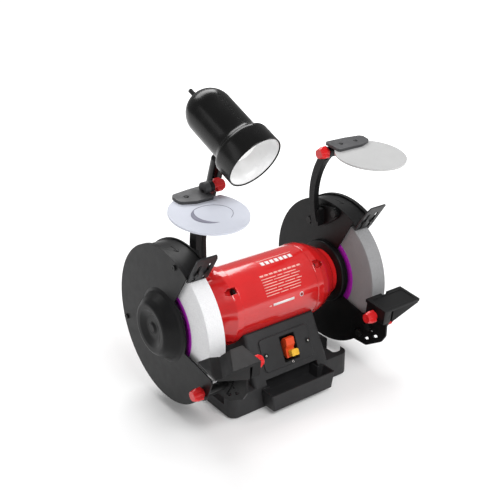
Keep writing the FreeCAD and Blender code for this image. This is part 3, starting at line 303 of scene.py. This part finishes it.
def rubbery(name, colour):
    """Dull rubber with dust in its grain."""
    f = Finish(name, colour, 0.85, Specular_IOR_Level=0.25)
    f.drift(f.noise(90, 5), colour, 0.7, 1.6)
    return f.rounded(0.4 * MM).bump(f.noise(1500, 4), 0.06 * MM).material


MATERIALS = {
    "base_paint": powder_coat("base_paint", (0.034, 0.034, 0.035), 0.50, 1100, 0.045),
    "red_paint": enamel("red_paint", (0.60, 0.013, 0.014), 0.17),
    "black_paint": powder_coat("black_paint", (0.0046, 0.0046, 0.0049), 0.42),
    "steel": machined("steel", (0.52, 0.52, 0.51), 0.30, (1, 1, 6)),
    "zinc_screws": machined("zinc_screws", (0.48, 0.47, 0.44), 0.32),
    "black_screws": powder_coat("black_screws", (0.012, 0.012, 0.012), 0.38),
    "laminations": machined("laminations", (0.22, 0.22, 0.23), 0.45, (30, 1, 1)),
    "copper": machined("copper", (0.62, 0.25, 0.10), 0.35, (1, 8, 8)),
    "aluminium_can": machined("aluminium_can", (0.68, 0.68, 0.69), 0.35, (0.2, 1, 1)),
    "rubber": rubbery("rubber", (0.018, 0.018, 0.018)),
    "black_plastic": moulded("black_plastic", (0.017, 0.017, 0.018), 0.45),
    "clip_plastic": moulded("clip_plastic", (0.055, 0.055, 0.058), 0.48, 1200, 0.05),
    "red_plastic": moulded("red_plastic", (0.66, 0.016, 0.018), 0.28, 1500, 0.015, Coat_Weight=0.3),
    "orange_plastic": moulded("orange_plastic", (0.74, 0.075, 0.020), 0.34, 900, 0.015),
    "yellow_plastic": moulded("yellow_plastic", (0.86, 0.50, 0.045), 0.32, 900, 0.015),
    "white_abrasive": abrasive("white_abrasive", (0.82, 0.82, 0.83), (0.60, 0.60, 0.62), (0.42, 0.42, 0.44)),
    "grey_abrasive": abrasive("grey_abrasive", (0.30, 0.30, 0.305), (0.13, 0.13, 0.135), (0.05, 0.05, 0.05)),
    "blotter_paper": card("blotter_paper", (0.33, 0.007, 0.37)),
    "clear_lens": lens_plastic("clear_lens", (0.50, 0.50, 0.50), 0.88),
    "lamp_black": enamel("lamp_black", (0.003, 0.003, 0.003), 0.25, 0.05, 0.26, 0.001, 0),
    "lamp_white": enamel("lamp_white", (0.80, 0.80, 0.80), 0.30, 0.2, 0.5, 0.004, 0),
    # the bulb's faint glow is painted light
    "bulb_glass": bulb_frost("bulb_glass", (0.70, 0.70, 0.70), 0.28),
    "bushing_plastic": moulded("bushing_plastic", (0.09, 0.09, 0.10), 0.5),
}
PRINT_WHITE = ink("print_white", (0.88, 0.84, 0.83))
PRINT_PALE = ink("print_pale", (0.84, 0.42, 0.37))
# near-black, very matt finish for the switch housing: painted shade for the shadowed opening around the
# paddle
PAINTED_SHADE_BLACK = moulded("painted_shade_black", (0.001, 0.001, 0.001), 0.9)
PLATE_BLACK = moulded("plate_black", (0.027, 0.027, 0.028), 0.42)
BLUE_LENS = lens_plastic("blue_lens", (0.57, 0.59, 0.66), 0.93, 0.40, 0.12)
# darker copy of the blue lens plastic: painted shade on the magnifier's outline and crescent
LENS_PAINTED_SHADE = lens_plastic("lens_painted_shade", (0.26, 0.26, 0.32), 0.90, 0.40, 0.12)
OWN_FINISH = {"left_shield_lens": BLUE_LENS, "switch_housing": PAINTED_SHADE_BLACK, "switch_plate": PLATE_BLACK}

for node_name, node_object in NODES.items():
    node_object.data.materials.clear()
    node_object.data.materials.append(OWN_FINISH.get(node_name, MATERIALS[SLOTS[node_name]]))


# ---- mesh helpers ----
SAME_PLACE = 2e-6             # vertices closer than this, in metres, are one
noise.seed_set(1)             # without a seed the ripple of the wheels would change from run to run


def shown(name, mesh, material):
    """Link a mesh as a smooth object of one material."""
    made = bpy.data.objects.new(name, mesh)
    bpy.context.scene.collection.objects.link(made)
    mesh.materials.clear()
    mesh.materials.append(material)
    for polygon in mesh.polygons:
        polygon.use_smooth = True
    return made


def piece(name, mesh, slot, body, material=None):
    """Visible piece that rides on a body and has its slot's finish, unless it is given its own."""
    made = shown(name, mesh, material or MATERIALS[slot])
    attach(made, body)
    return made


def mesh_from(name, bm):
    """The built mesh, with its normals outwards; bm is freed."""
    bmesh.ops.recalc_face_normals(bm, faces=bm.faces)
    mesh = bpy.data.meshes.new(name)
    bm.to_mesh(mesh)
    bm.free()
    return mesh


def with_modifiers(name, mesh, *settings):
    """The mesh after (modifier type, {setting: value}) pairs."""
    carrier = bpy.data.objects.new(name, mesh)
    bpy.context.scene.collection.objects.link(carrier)
    for kind, values in settings:
        modifier = carrier.modifiers.new(kind, kind)
        for key, value in values.items():
            setattr(modifier, key, value)
    depsgraph = bpy.context.evaluated_depsgraph_get()
    result = bpy.data.meshes.new_from_object(carrier.evaluated_get(depsgraph))
    bpy.data.objects.remove(carrier)
    result.name = name
    return result


def softened(node, width):
    """A copy of a CAD node with its sharp edges rounded, standing for it on its own body."""
    flat_turn, sharp_turn, crease = math.radians(0.7), math.radians(32), math.radians(24)
    source = NODES[node]
    bm = bmesh.new()
    bm.from_mesh(source.data)
    bmesh.ops.remove_doubles(bm, verts=bm.verts, dist=SAME_PLACE)
    bmesh.ops.dissolve_limit(bm, angle_limit=flat_turn, verts=bm.verts, edges=bm.edges)
    flat = bpy.data.meshes.new(node)
    bm.to_mesh(flat)
    bm.free()
    bevel = {"width": width * MM, "segments": 2, "limit_method": "ANGLE", "angle_limit": sharp_turn,
             "miter_outer": "MITER_ARC", "use_clamp_overlap": True}
    mesh = with_modifiers(node + "_finish", flat, ("BEVEL", bevel))
    made = piece(node + "_finish", mesh, SLOTS[node], source["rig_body"])
    mesh.set_sharp_from_angle(angle=crease)
    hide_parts(node)


def ring_of(bm, centre, across, up, radius, count):
    """One loop of vertices on a circle in the plane of across and up."""
    loop = []
    for i in range(count):
        a = math.tau * i / count
        loop.append(bm.verts.new(centre + (across * math.cos(a) + up * math.sin(a)) * radius))
    return loop


def bridge(bm, first, second):
    """Faces between two loops of as many vertices."""
    count = len(first)
    for i in range(count):
        j = (i + 1) % count
        bm.faces.new((first[i], first[j], second[j], second[i]))


def lathe(name, profile, origin, axis, count=128, closed=False, ripple=0.0, seed=0.0):
    """Surface of revolution of (distance along the axis, radius) points, with an optional fine ripple."""
    point_r, ripples_per_metre, pole = 1e-6, 900, 5e-6
    axis = Vector(axis).normalized()
    across = axis.orthogonal().normalized()
    up = axis.cross(across)
    bm = bmesh.new()
    loops = [ring_of(bm, Vector(origin) + axis * along, across, up, max(radius, point_r), count)
             for along, radius in profile]
    for first, second in zip(loops, loops[1:] + (loops[:1] if closed else [])):
        bridge(bm, first, second)
    if ripple:
        for vertex in bm.verts:
            vertex.co += noise.noise_vector(vertex.co * ripples_per_metre + Vector((seed, 0, 0))) * ripple
    bmesh.ops.remove_doubles(bm, verts=bm.verts, dist=pole)
    return mesh_from(name, bm)


def corner(x, r, quadrant_x, quadrant_r, radius):
    """Rounded corner points at (x, r): the centre lies towards quadrant_x, quadrant_r."""
    steps = 4
    cx, cr = x + quadrant_x * radius, r + quadrant_r * radius
    points = []
    for i in range(steps + 1):
        a = math.pi / 2 * i / steps
        points.append((cx - quadrant_x * radius * math.cos(a), cr - quadrant_r * radius * math.sin(a)))
    return points


def block(name, centre, axes, sizes, slot, body, material=None, bevel=0.2):
    """Small bevelled block; axes are three directions and sizes are its full lengths in mm."""
    bm = bmesh.new()
    bmesh.ops.create_cube(bm, size=1.0)
    for vertex in bm.verts:
        offset = sum((axis * vertex.co[i] * sizes[i] * MM for i, axis in enumerate(axes)), Vector())
        vertex.co = Vector(centre) + offset
    mesh = mesh_from(name, bm)
    if bevel:
        mesh = with_modifiers(name, mesh, ("BEVEL", {"width": bevel * MM, "segments": 2}))
    piece(name, mesh, slot, body, material)


def tube_ring(name, centre, across, up, radii, tube, slot, body, material, arc=(0, 360), count=64):
    """Thin ring or arc of round section, radii being its half lengths along across and up in mm."""
    start, end = arc
    bm = bmesh.new()
    loops = []
    whole = end - start >= 360
    out = across.cross(up)
    for i in range(count if whole else count + 1):
        a = math.radians(start + (end - start) * i / count)
        radial = (across * math.cos(a) + up * math.sin(a)).normalized()
        point = centre + across * radii[0] * MM * math.cos(a) + up * radii[1] * MM * math.sin(a)
        loops.append(ring_of(bm, point, radial, out, tube * MM, 10))
    for first, second in zip(loops, loops[1:] + (loops[:1] if whole else [])):
        bridge(bm, first, second)
    if not whole:
        bm.faces.new(loops[0])
        bm.faces.new(loops[-1])
    piece(name, mesh_from(name, bm), slot, body, material)


# ---- wheels ----
WHEEL_BORE_R = 16 * MM


def grinding_wheel(side, sign):
    """Stone with rounded corners, cut into rings so that a faint ripple shows on it."""
    low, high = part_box(side + "_wheel")
    x0, x1 = (low.x, high.x) if sign > 0 else (-high.x, -low.x)
    edge_r, ripple = 0.9 * MM, 0.05 * MM
    face_steps, rim_steps = 14, 7
    flat_r, flat_x = WHEEL_R - edge_r - WHEEL_BORE_R, x1 - x0 - 2 * edge_r
    face = [WHEEL_BORE_R + flat_r * i / face_steps for i in range(face_steps + 1)]
    profile = [(x0, radius) for radius in face]
    profile += corner(x0, WHEEL_R, 1, -1, edge_r)[1:]
    profile += [(x0 + edge_r + flat_x * i / rim_steps, WHEEL_R) for i in range(1, rim_steps)]
    profile += corner(x1, WHEEL_R, -1, -1, edge_r)[::-1]
    profile += [(x1, radius) for radius in face[-2::-1]]
    profile = [(x * sign, r) for x, r in profile]
    mesh = lathe(side + "_wheel_stone", profile, SHAFT, (1, 0, 0), 360, True, ripple, sign)
    made = piece(side + "_wheel_stone", mesh, SLOTS[side + "_wheel"], "rotor")
    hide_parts(side + "_wheel")


def blotter_discs():
    """Paper discs with a pressed outer bead."""
    low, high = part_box("left_wheel")
    outer_r = node_radius("wheel_blotters")
    bore_r, thick, gap = 16.2 * MM, 0.75 * MM, 0.05 * MM
    disc = ((gap, bore_r), (thick, bore_r), (thick, outer_r - 6 * MM), (1.5 * thick, outer_r - 4.8 * MM),
            (1.5 * thick, outer_r - 3.4 * MM), (thick, outer_r - 2.4 * MM), (thick, outer_r - 0.6 * MM),
            (0.7 * thick, outer_r), (gap, outer_r))
    first = None
    for side, sign in SIDES:
        for face, out, name in ((-low.x, 1, "outer"), (-high.x, -1, "inner")):
            profile = [(sign * (face + out * along), radius) for along, radius in disc]
            label = side + "_blotter_" + name
            made = piece(label, lathe(label, profile, SHAFT, (1, 0, 0), 160, True), "blotter_paper", "rotor")
            first = first or made
    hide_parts("wheel_blotters")


# ---- flexible neck ----
NECK_X, NECK_START = -0.090, (0.0105, 0.202)
NECK_FOOT = Vector((NECK_X, NECK_START[0], 0.192))
RIB_PITCH = 1.9 * MM
RIB_DEPTH = 0.55 * MM
HOSE_R = 6.8 * MM
HOSE_SPACING = RIB_PITCH / 6
# stretches of the hose: (length in mm, turn towards the front in degrees)
NECK_STEPS = ((22.0, 0.0), (2.6, 0.0), (4.0, 0.0), (24.0, 21.0), (18.0, 0.0), (2.6, 0.0), (52.0, -1.5))


def neck_line(spacing):
    """Centreline samples of the whole neck: (point, heading), evenly spaced."""
    (y, z), heading = NECK_START, 0.0
    samples = [(Vector((NECK_X, y, z)), heading)]
    for length, turn in NECK_STEPS:
        count = max(1, round(length * MM / spacing))
        for _ in range(count):
            step = length * MM / count
            heading += math.radians(turn) / count / 2
            y -= step * math.sin(heading)
            z += step * math.cos(heading)
            heading += math.radians(turn) / count / 2
            samples.append((Vector((NECK_X, y, z)), heading))
    return samples


def forward(heading):
    """Direction along the neck where it leans towards the front by heading."""
    return Vector((0, -math.sin(heading), math.cos(heading)))


def hose(name, samples, travelled):
    """Ribbed hose along the samples; travelled is how many samples come before them."""
    across = Vector((1, 0, 0))
    bm = bmesh.new()
    loops = []
    for i, (point, heading) in enumerate(samples):
        rib = abs(math.sin(math.pi * (travelled + i) * HOSE_SPACING / RIB_PITCH)) ** 0.6
        radius = HOSE_R - RIB_DEPTH * (1 - rib)
        loops.append(ring_of(bm, point, across, forward(heading).cross(across), radius, 48))
    for first, second in zip(loops, loops[1:]):
        bridge(bm, first, second)
    bm.faces.new(loops[0])
    bm.faces.new(loops[-1])
    return mesh_from(name, bm)


def flexible_neck():
    """Two hoses along the neck, split at the sample nearest the middle of its two bends."""
    samples = neck_line(HOSE_SPACING)
    bends = [Vector(JOINTS[name]["pos_m"]) for name in ("gooseneck_bend_lower", "gooseneck_bend_upper")]
    middle = min(range(len(samples)), key=lambda i: (samples[i][0] - (bends[0] + bends[1]) / 2).length)
    parts = (("neck_hose_lower", samples[:middle + 1], 0, "root", "neck_middle", bends[0],
              ("gooseneck_lower", "gooseneck_middle")),
             ("neck_hose_upper", samples[middle:], middle, "neck_middle", "neck_upper", bends[1],
              ("gooseneck_upper",)))
    for name, run, start, body_a, body_b, bend, nodes in parts:
        made = shown(name, hose(name, run, start), MATERIALS["black_paint"])
        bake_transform(made)
        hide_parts(*nodes)


def neck_nut():
    """Hexagon nut and collar at the foot of the neck."""
    nut_r, nut_foot, nut_top = 12 * MM, 0.05 * MM, 7 * MM
    across, up = Vector((1, 0, 0)), Vector((0, 1, 0))
    bm = bmesh.new()
    low = ring_of(bm, NECK_FOOT + Vector((0, 0, nut_foot)), across, up, nut_r, 6)
    high = ring_of(bm, NECK_FOOT + Vector((0, 0, nut_top)), across, up, nut_r, 6)
    bridge(bm, low, high)
    bm.faces.new(low)
    bm.faces.new(high)
    mesh = with_modifiers("neck_nut", mesh_from("neck_nut", bm),
                          ("BEVEL", {"width": 0.8 * MM, "segments": 3, "harden_normals": True}))
    piece("neck_nut", mesh, "black_paint", "root")
    profile = [(nut_top, 0.0), (nut_top, 9.4 * MM)] + corner(11.5 * MM, 8.6 * MM, -1, -1, 1.2 * MM)[::-1]
    profile += [(12 * MM, 6.9 * MM), (12 * MM, 0.0)]
    piece("neck_collar", lathe("neck_collar", profile, NECK_FOOT, (0, 0, 1), 64), "black_paint", "root")


# ---- lamp ----
LAMP_APEX = Vector((-0.1138, -0.022, 0.442))
LAMP_AXIS = Vector((0.113, -0.860, -0.498)).normalized()
SHADE_R, RIM_R, SHADE_LENGTH = 30.2, 37.6, 119.0          # mm


def lamp_turned(name, points, node, slot, count, closed):
    """Turned piece of the lamp standing for a node; points are (distance from the apex, radius) in mm."""
    profile = [(d * MM, radius * MM) for d, radius in points]
    made = piece(name, lathe(name, profile, LAMP_APEX, LAMP_AXIS, count, closed), slot, "lamp")
    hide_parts(node)


def shade_shell():
    """Spun shade: domed cap, stepped collar and a rolled lip."""
    steps, hole_r, sheet = 14, 3.1, 1.3
    dome = []
    for i in range(1, steps + 1):
        a = math.pi / 2 * i / steps
        dome.append((SHADE_R * (1 - math.cos(a)), SHADE_R * math.sin(a)))
    skirt = [(45.0, SHADE_R), (60.0, SHADE_R), (75.0, SHADE_R), (81.5, SHADE_R), (84.5, SHADE_R + 0.7),
             (86.8, SHADE_R + 2.6), (88.4, SHADE_R + 4.6), (90.2, RIM_R - 1.1), (92.4, RIM_R - 0.2),
             (95.0, RIM_R), (106.0, RIM_R), (SHADE_LENGTH - 1.2, RIM_R)]
    lip = [(SHADE_LENGTH - 0.4, RIM_R - 0.1), (SHADE_LENGTH, RIM_R - 0.6), (SHADE_LENGTH - 0.1, RIM_R - 1.1),
           (SHADE_LENGTH - 0.6, RIM_R - sheet)]
    inside = [(d - 0.6, radius - sheet) for d, radius in reversed(dome[-1:] + skirt)]
    inside += [(d + 1.2, radius * 0.955) for d, radius in reversed(dome[:-1])]
    points = [(0.0, hole_r)] + dome + skirt + lip + inside + [(1.2, hole_r)]
    lamp_turned("lamp_shade_shell", points, "lamp_shade", "lamp_black", 160, True)


def reflector_liner():
    """White liner, flared towards the rim."""
    sheet = 0.8
    outside = [(60.0, 27.2), (74.0, 27.3), (85.0, 28.4), (92.0, 31.5), (97.0, 34.3), (104.0, 35.5),
               (117.6, 35.7)]
    inside = [(d, radius - sheet) for d, radius in reversed(outside)]
    lamp_turned("lamp_reflector_liner", outside + inside, "lamp_reflector", "lamp_white", 128, True)


def reflector_bulb():
    """Frosted reflector bulb: tapering body, rounded shoulder and a face with a moulded ring."""
    glass = [(26.0, 0.0), (26.0, 8.4), (28.0, 12.0), (31.0, 13.0), (50.0, 13.0), (56.0, 14.6), (64.0, 18.2),
             (72.0, 21.6), (80.0, 23.4), (87.0, 24.0), (91.5, 23.4), (94.2, 21.8), (95.8, 19.4), (96.3, 17.4),
             (96.1, 16.4), (96.6, 15.4), (97.6, 12.0), (98.3, 7.0), (98.5, 0.0)]
    lamp_turned("lamp_bulb_glass", glass, "lamp_bulb", "bulb_glass", 128, False)


# ---- printed panel on the motor ----
def motor_patch(name, outline, material, lift=0.07):
    """Thin print on the motor: outline points are (x mm, angle above the front in degrees)."""
    sunk, widest = 0.02, 3          # mm below the paint, and degrees of the motor that one strip spans
    bm = bmesh.new()
    bm.faces.new([bm.verts.new((x * MM, math.radians(a) * MOTOR_R, 0)) for x, a in outline])
    angles = [a for _, a in outline]
    low, span = min(angles), max(max(angles) - min(angles), 1.0)
    strips = max(1, round(span / widest))
    for i in range(1, strips):
        level = math.radians(low + span * i / strips) * MOTOR_R
        geometry = bm.verts[:] + bm.edges[:] + bm.faces[:]
        bmesh.ops.bisect_plane(bm, geom=geometry, plane_co=(0, level, 0), plane_no=(0, 1, 0))
    # the top and the sides are added one by one, which keeps the vertices in the same order each run
    flat_faces, rim = bm.faces[:], [tuple(edge.verts) for edge in bm.edges if edge.is_boundary]
    top = {vertex: bm.verts.new(vertex.co + Vector((0, 0, 1))) for vertex in bm.verts[:]}
    for face in flat_faces:
        bm.faces.new([top[vertex] for vertex in face.verts])
    for first, second in rim:
        bm.faces.new((first, second, top[second], top[first]))
    for vertex in bm.verts:
        a = vertex.co.y / MOTOR_R
        radius = MOTOR_R + (lift * MM if vertex.co.z > 0.5 else -sunk * MM)
        vertex.co = Vector((vertex.co.x, -radius * math.cos(a), AXIS_Z + radius * math.sin(a)))
    piece(name, mesh_from(name, bm), "red_paint", "root", material)


def bar(x0, x1, a0, a1):
    """Outline from x0 to x1 in mm and from a0 to a1 in degrees."""
    return [(x0, a0), (x1, a0), (x1, a1), (x0, a1)]


# rows of dashes: (angle above the front in degrees, lengths in mm)
PRINT_ROWS = (
    (46.6, (26, 9, 22)), (42.4, (18, 28, 16)), (38.2, (24, 36)), (34.0, (34, 18, 10)),
    (29.8, (20, 40)), (25.6, (28, 32)), (21.4, (22, 14, 20)),
)


def rating_print():
    """Generic stand-in for the printed panel: plain bars, rows of dashes and a ring, with no lettering."""
    left, right, pitch, gap, height = -24.0, 46.0, 8.2, 2.2, 1.3
    for i in range(7):
        motor_patch("print_head_%d" % i, bar(-9 + pitch * i, -3 + pitch * i, 70.0, 77.0), PRINT_WHITE)
    motor_patch("print_rule_top", bar(-11, 49, 81.0, 82.2), PRINT_PALE)
    for i in range(9):
        dash = bar(left + pitch * i, left + 6.6 + pitch * i, 51.5, 54.3)
        motor_patch("print_title_%d" % i, dash, PRINT_PALE)
    for i, (angle, lengths) in enumerate(PRINT_ROWS):
        x = left
        for j, length in enumerate(lengths):
            end = min(x + length, right)
            motor_patch("print_row_%d_%d" % (i, j), bar(x, end, angle, angle + height), PRINT_PALE)
            x = end + gap
    motor_patch("print_low_bar", bar(-15, 22, 4.6, 8.4), PRINT_WHITE)
    motor_patch("print_low_dash", bar(-22, -18, 5.4, 7.0), PRINT_PALE)
    ring_x, ring_angle, points = 35.5, 8.6, 24
    for name, radius, material, lift in (("print_dot", 3.4, PRINT_WHITE, 0.07),
                                         ("print_dot_middle", 2.4, MATERIALS["red_paint"], 0.10)):
        turn = math.degrees(radius * MM / MOTOR_R)
        outline = []
        for i in range(points):
            a = math.tau * i / points
            outline.append((ring_x + radius * math.cos(a), ring_angle + turn * math.sin(a)))
        motor_patch(name, outline, material, lift)


# ---- trim on the switch plate ----
def plate_frame():
    """Middle and axes of the sloping switch plate: across, up the slope and outwards."""
    low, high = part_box("switch_plate")
    slope = math.atan2(high.z - low.z, high.y - low.y)
    up = Vector((0, math.cos(slope), math.sin(slope)))
    out = Vector((0, -math.sin(slope), math.cos(slope)))
    return (low + high) / 2, Vector((1, 0, 0)), up, out


def switch_marks():
    """White on and off marks above and below the paddle."""
    centre, across, up, out = plate_frame()
    low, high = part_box("switch_paddle")
    middle = Vector(((low.x + high.x) / 2, centre.y, centre.z)) + out * 1.25 * MM
    block("mark_on", middle + up * 21.1 * MM, (across, up, out), (1.2, 3.0, 0.25), "black_plastic", "root",
          PRINT_WHITE, 0)
    tube_ring("mark_off", middle - up * 21.2 * MM, across, up, (1.5, 1.5), 0.25, "black_plastic", "root",
              PRINT_WHITE, count=32)


def plate_screw_caps():
    """Bright middles of the switch plate's two screws."""
    centre, _, _, out = plate_frame()
    foot, top, cap_r = 2.8 * MM, 3.3 * MM, 1.7 * MM
    profile = [(foot, 0.0), (foot, cap_r), (3.1 * MM, cap_r), (top, 1.1 * MM), (top, 0.0)]
    for name, sign in SIDES:
        place = Vector((sign * 37.5 * MM, centre.y, centre.z))
        label = name + "_plate_screw_cap"
        piece(label, lathe(label, profile, place, out, 24), "zinc_screws", "root")


# ---- trim on the eye shields ----
# tilt in degrees, with the back edge higher; reach forwards and rise from the pivot to the lens, in mm
SHIELDS = {
    "left": {"tilt": 8.8, "reach": 42.0, "rise": -8.5},
    "right": {"tilt": 6.8, "reach": 53.0, "rise": 11.0},
}
CLIP_SCREWS = ((121.5, 41.0), (148.0, 40.0))          # (x, distance behind the lens centre) in mm


def shield_frame(side):
    """Pivot and tipped axes of an eye shield: back and up."""
    tilt = math.radians(SHIELDS[side]["tilt"])
    back = Vector((0, math.cos(tilt), math.sin(tilt)))
    up = Vector((0, -math.sin(tilt), math.cos(tilt)))
    return Vector(JOINTS[side + "_shield_tilt"]["pos_m"]), back, up


def clip_screws(side, sign):
    """Two pan-head screws that hold the lens under its clip."""
    pivot, back, up = shield_frame(side)
    shape = SHIELDS[side]
    head = [(0.02 * MM, 0.0), (0.02 * MM, 3.1 * MM), (0.9 * MM, 3.1 * MM), (1.6 * MM, 2.5 * MM),
            (1.9 * MM, 1.4 * MM), (1.95 * MM, 0.0)]
    for i, (x, along) in enumerate(CLIP_SCREWS):
        place = Vector((sign * x * MM, pivot.y, pivot.z))
        place += back * (along - shape["reach"]) * MM + up * (shape["rise"] + 2.2) * MM
        name = "%s_clip_screw_%d" % (side, i)
        piece(name, lathe(name, head, place, up, 32), "black_screws", side + "_shield")


def magnifier_painted_shade(side, sign):
    """Outline of the magnifying part of the left lens, with a crescent along its outer side, both in a darker
    copy of the lens plastic: painted shade.
    """
    pivot, back, up = shield_frame(side)
    shape = SHIELDS[side]
    half_x, half_y = 27.0, 21.0
    body = side + "_shield"
    centre = Vector((sign * 139.0 * MM, pivot.y, pivot.z))
    centre += back * -(shape["reach"] + 4.0) * MM + up * (shape["rise"] + 0.02) * MM
    across = Vector((sign, 0, 0))
    tube_ring(side + "_lens_outline", centre, across, back, (half_x, half_y), 0.35, "clear_lens", body,
              LENS_PAINTED_SHADE, (-70, 235))
    start, sweep, widest, steps = -84, 142, 7.0, 24
    foot, top = 0.02, 0.14
    bm = bmesh.new()
    rows = []
    for i in range(steps + 1):
        a = math.radians(start + sweep * i / steps)
        width = widest * MM * math.sin(math.pi * i / steps)
        outer = centre + across * half_x * MM * math.cos(a) + back * half_y * MM * math.sin(a)
        inner = outer - (across * math.cos(a) + back * math.sin(a)) * width
        section = ((outer, foot), (outer, top), (inner, top), (inner, foot))
        rows.append([bm.verts.new(point + up * lift * MM) for point, lift in section])
    for first, second in zip(rows, rows[1:]):
        bridge(bm, first, second)
    bmesh.ops.remove_doubles(bm, verts=bm.verts, dist=SAME_PLACE)
    name = side + "_lens_crescent"
    piece(name, mesh_from(name, bm), "clear_lens", body, LENS_PAINTED_SHADE)


# ---- trim on the guards ----
ARROW_X, ARROW_R = 143 * MM, 109.5 * MM          # middle of the rim band


def rotation_arrow(side, sign):
    """Raised arrow on the guard's rim showing which way the wheel turns."""
    def at(angle, shift):
        a = math.radians(angle)
        return Vector((sign * ARROW_X + shift * MM, -ARROW_R * math.cos(a), AXIS_Z + ARROW_R * math.sin(a)))

    width, height, overlap = 1.3, 0.7, 0.4
    tip = (81.4, 0.0)
    strokes = [("left", (84.0, -4.0), tip), ("right", (84.0, 4.0), tip)]
    strokes += [("stem_%d" % i, (82.0 + 3.0 * i, 0.0), (85.0 + 3.0 * i, 0.0)) for i in range(3)]
    for name, start, end in strokes:
        a, b = at(*start), at(*end)
        middle = (a + b) / 2
        along = (b - a).normalized()
        out = Vector((0, middle.y, middle.z - AXIS_Z)).normalized()
        across = along.cross(out).normalized()
        block("%s_arrow_%s" % (side, name), middle + out * 0.15 * MM, (along, across, out),
              ((b - a).length / MM + overlap, width, height), "black_paint", "root")


# ---- stage ----
AMBIENT = 0.32                # strength of the surroundings, seen in reflections and shadows
# the sweep glows more with distance: from and to in metres, then the two strengths
SWEEP_FADE = (0.45, 1.6, 0.10, 0.80)
FLOOR_HALF = 6.0
LIGHT_TARGET = Vector((0, 0, 0.16))
# area lights: name, place, size, power
LIGHTS = (
    ("key", (-0.1, -1.7, 1.9), (1.3, 1.0), 36),
    ("back_top", (0.2, 1.1, 1.7), (1.8, 0.8), 30),
    ("fill_right", (1.7, -0.6, 1.1), (0.8, 0.9), 12),
    ("side_left", (-1.7, 0.1, 0.9), (0.4, 1.2), 2),
)
CAMERA_PLACE = (-0.68992, -0.90717, 0.71315)
CAMERA_PITCH, CAMERA_TURN, FOCAL_LENGTH = 65.77, -36.61, 63.857          # degrees, degrees, mm


def floor():
    """Pale floor whose far parts fade into the background."""
    bm = bmesh.new()
    bmesh.ops.create_grid(bm, x_segments=2, y_segments=2, size=FLOOR_HALF)
    f = Finish("floor", (0.86, 0.86, 0.86), 0.55, Specular_IOR_Level=0.2, Emission_Color=(1, 1, 1, 1))
    f.colours(f.noise(3, 3), (0.3, (0.855, 0.855, 0.855)), (0.7, (0.875, 0.875, 0.875)))
    away = f.node("VectorMath", operation="LENGTH")
    f.link(f.place, away.inputs[0])
    f.link(f.spread(away.outputs["Value"], *SWEEP_FADE), f.shader.inputs["Emission Strength"])
    made = shown("floor", mesh_from("floor", bm), f.material)


def area_light(name, place, size, power):
    """Rectangular light turned to the target."""
    data = bpy.data.lights.new(name, "AREA")
    data.shape = "RECTANGLE"
    data.size, data.size_y = size
    data.energy = power
    made = bpy.data.objects.new(name, data)
    made.location = place
    made.rotation_euler = (LIGHT_TARGET - Vector(place)).to_track_quat("-Z", "Y").to_euler()
    bpy.context.scene.collection.objects.link(made)


def surroundings():
    """White world, full where it is seen directly and dimmer as a light."""
    world = bpy.data.worlds.new("studio")
    world.use_nodes = True
    tree = world.node_tree
    background = tree.nodes["Background"]
    background.inputs["Color"].default_value = (1, 1, 1, 1)
    rays = tree.nodes.new("ShaderNodeLightPath")
    level = tree.nodes.new("ShaderNodeMapRange")
    level.inputs["To Min"].default_value = AMBIENT
    level.inputs["To Max"].default_value = 1.0
    tree.links.new(rays.outputs["Is Camera Ray"], level.inputs["Value"])
    tree.links.new(level.outputs["Result"], background.inputs["Strength"])
    bpy.context.scene.world = world


def camera():
    """Camera a little above the machine, to the left of its front."""
    data = bpy.data.cameras.new("camera")
    data.sensor_width = 36.0
    data.lens = FOCAL_LENGTH
    data.clip_end = 50
    made = bpy.data.objects.new("camera", data)
    made.location = CAMERA_PLACE
    made.rotation_euler = (math.radians(CAMERA_PITCH), 0, math.radians(CAMERA_TURN))
    bpy.context.scene.collection.objects.link(made)
    bpy.context.scene.camera = made


camera()
floor()
for light in LIGHTS:
    area_light(*light)
surroundings()
bpy.context.scene.view_settings.view_transform = "Standard"

for side, sign in SIDES:
    grinding_wheel(side, sign)
blotter_discs()
flexible_neck()
neck_nut()
shade_shell()
reflector_liner()
reflector_bulb()
rating_print()
switch_marks()
plate_screw_caps()

# widths of the rounded edges in mm
softened("coolant_tray", 0.7)
for side, _ in SIDES:
    softened(side + "_tool_rest", 0.5)
    softened(side + "_spark_deflector", 0.35)
    softened(side + "_rest_bracket", 0.45)
    softened(side + "_shield_clip", 0.6)
for side, sign in SIDES:
    clip_screws(side, sign)
    rotation_arrow(side, sign)
magnifier_painted_shade("left", -1)
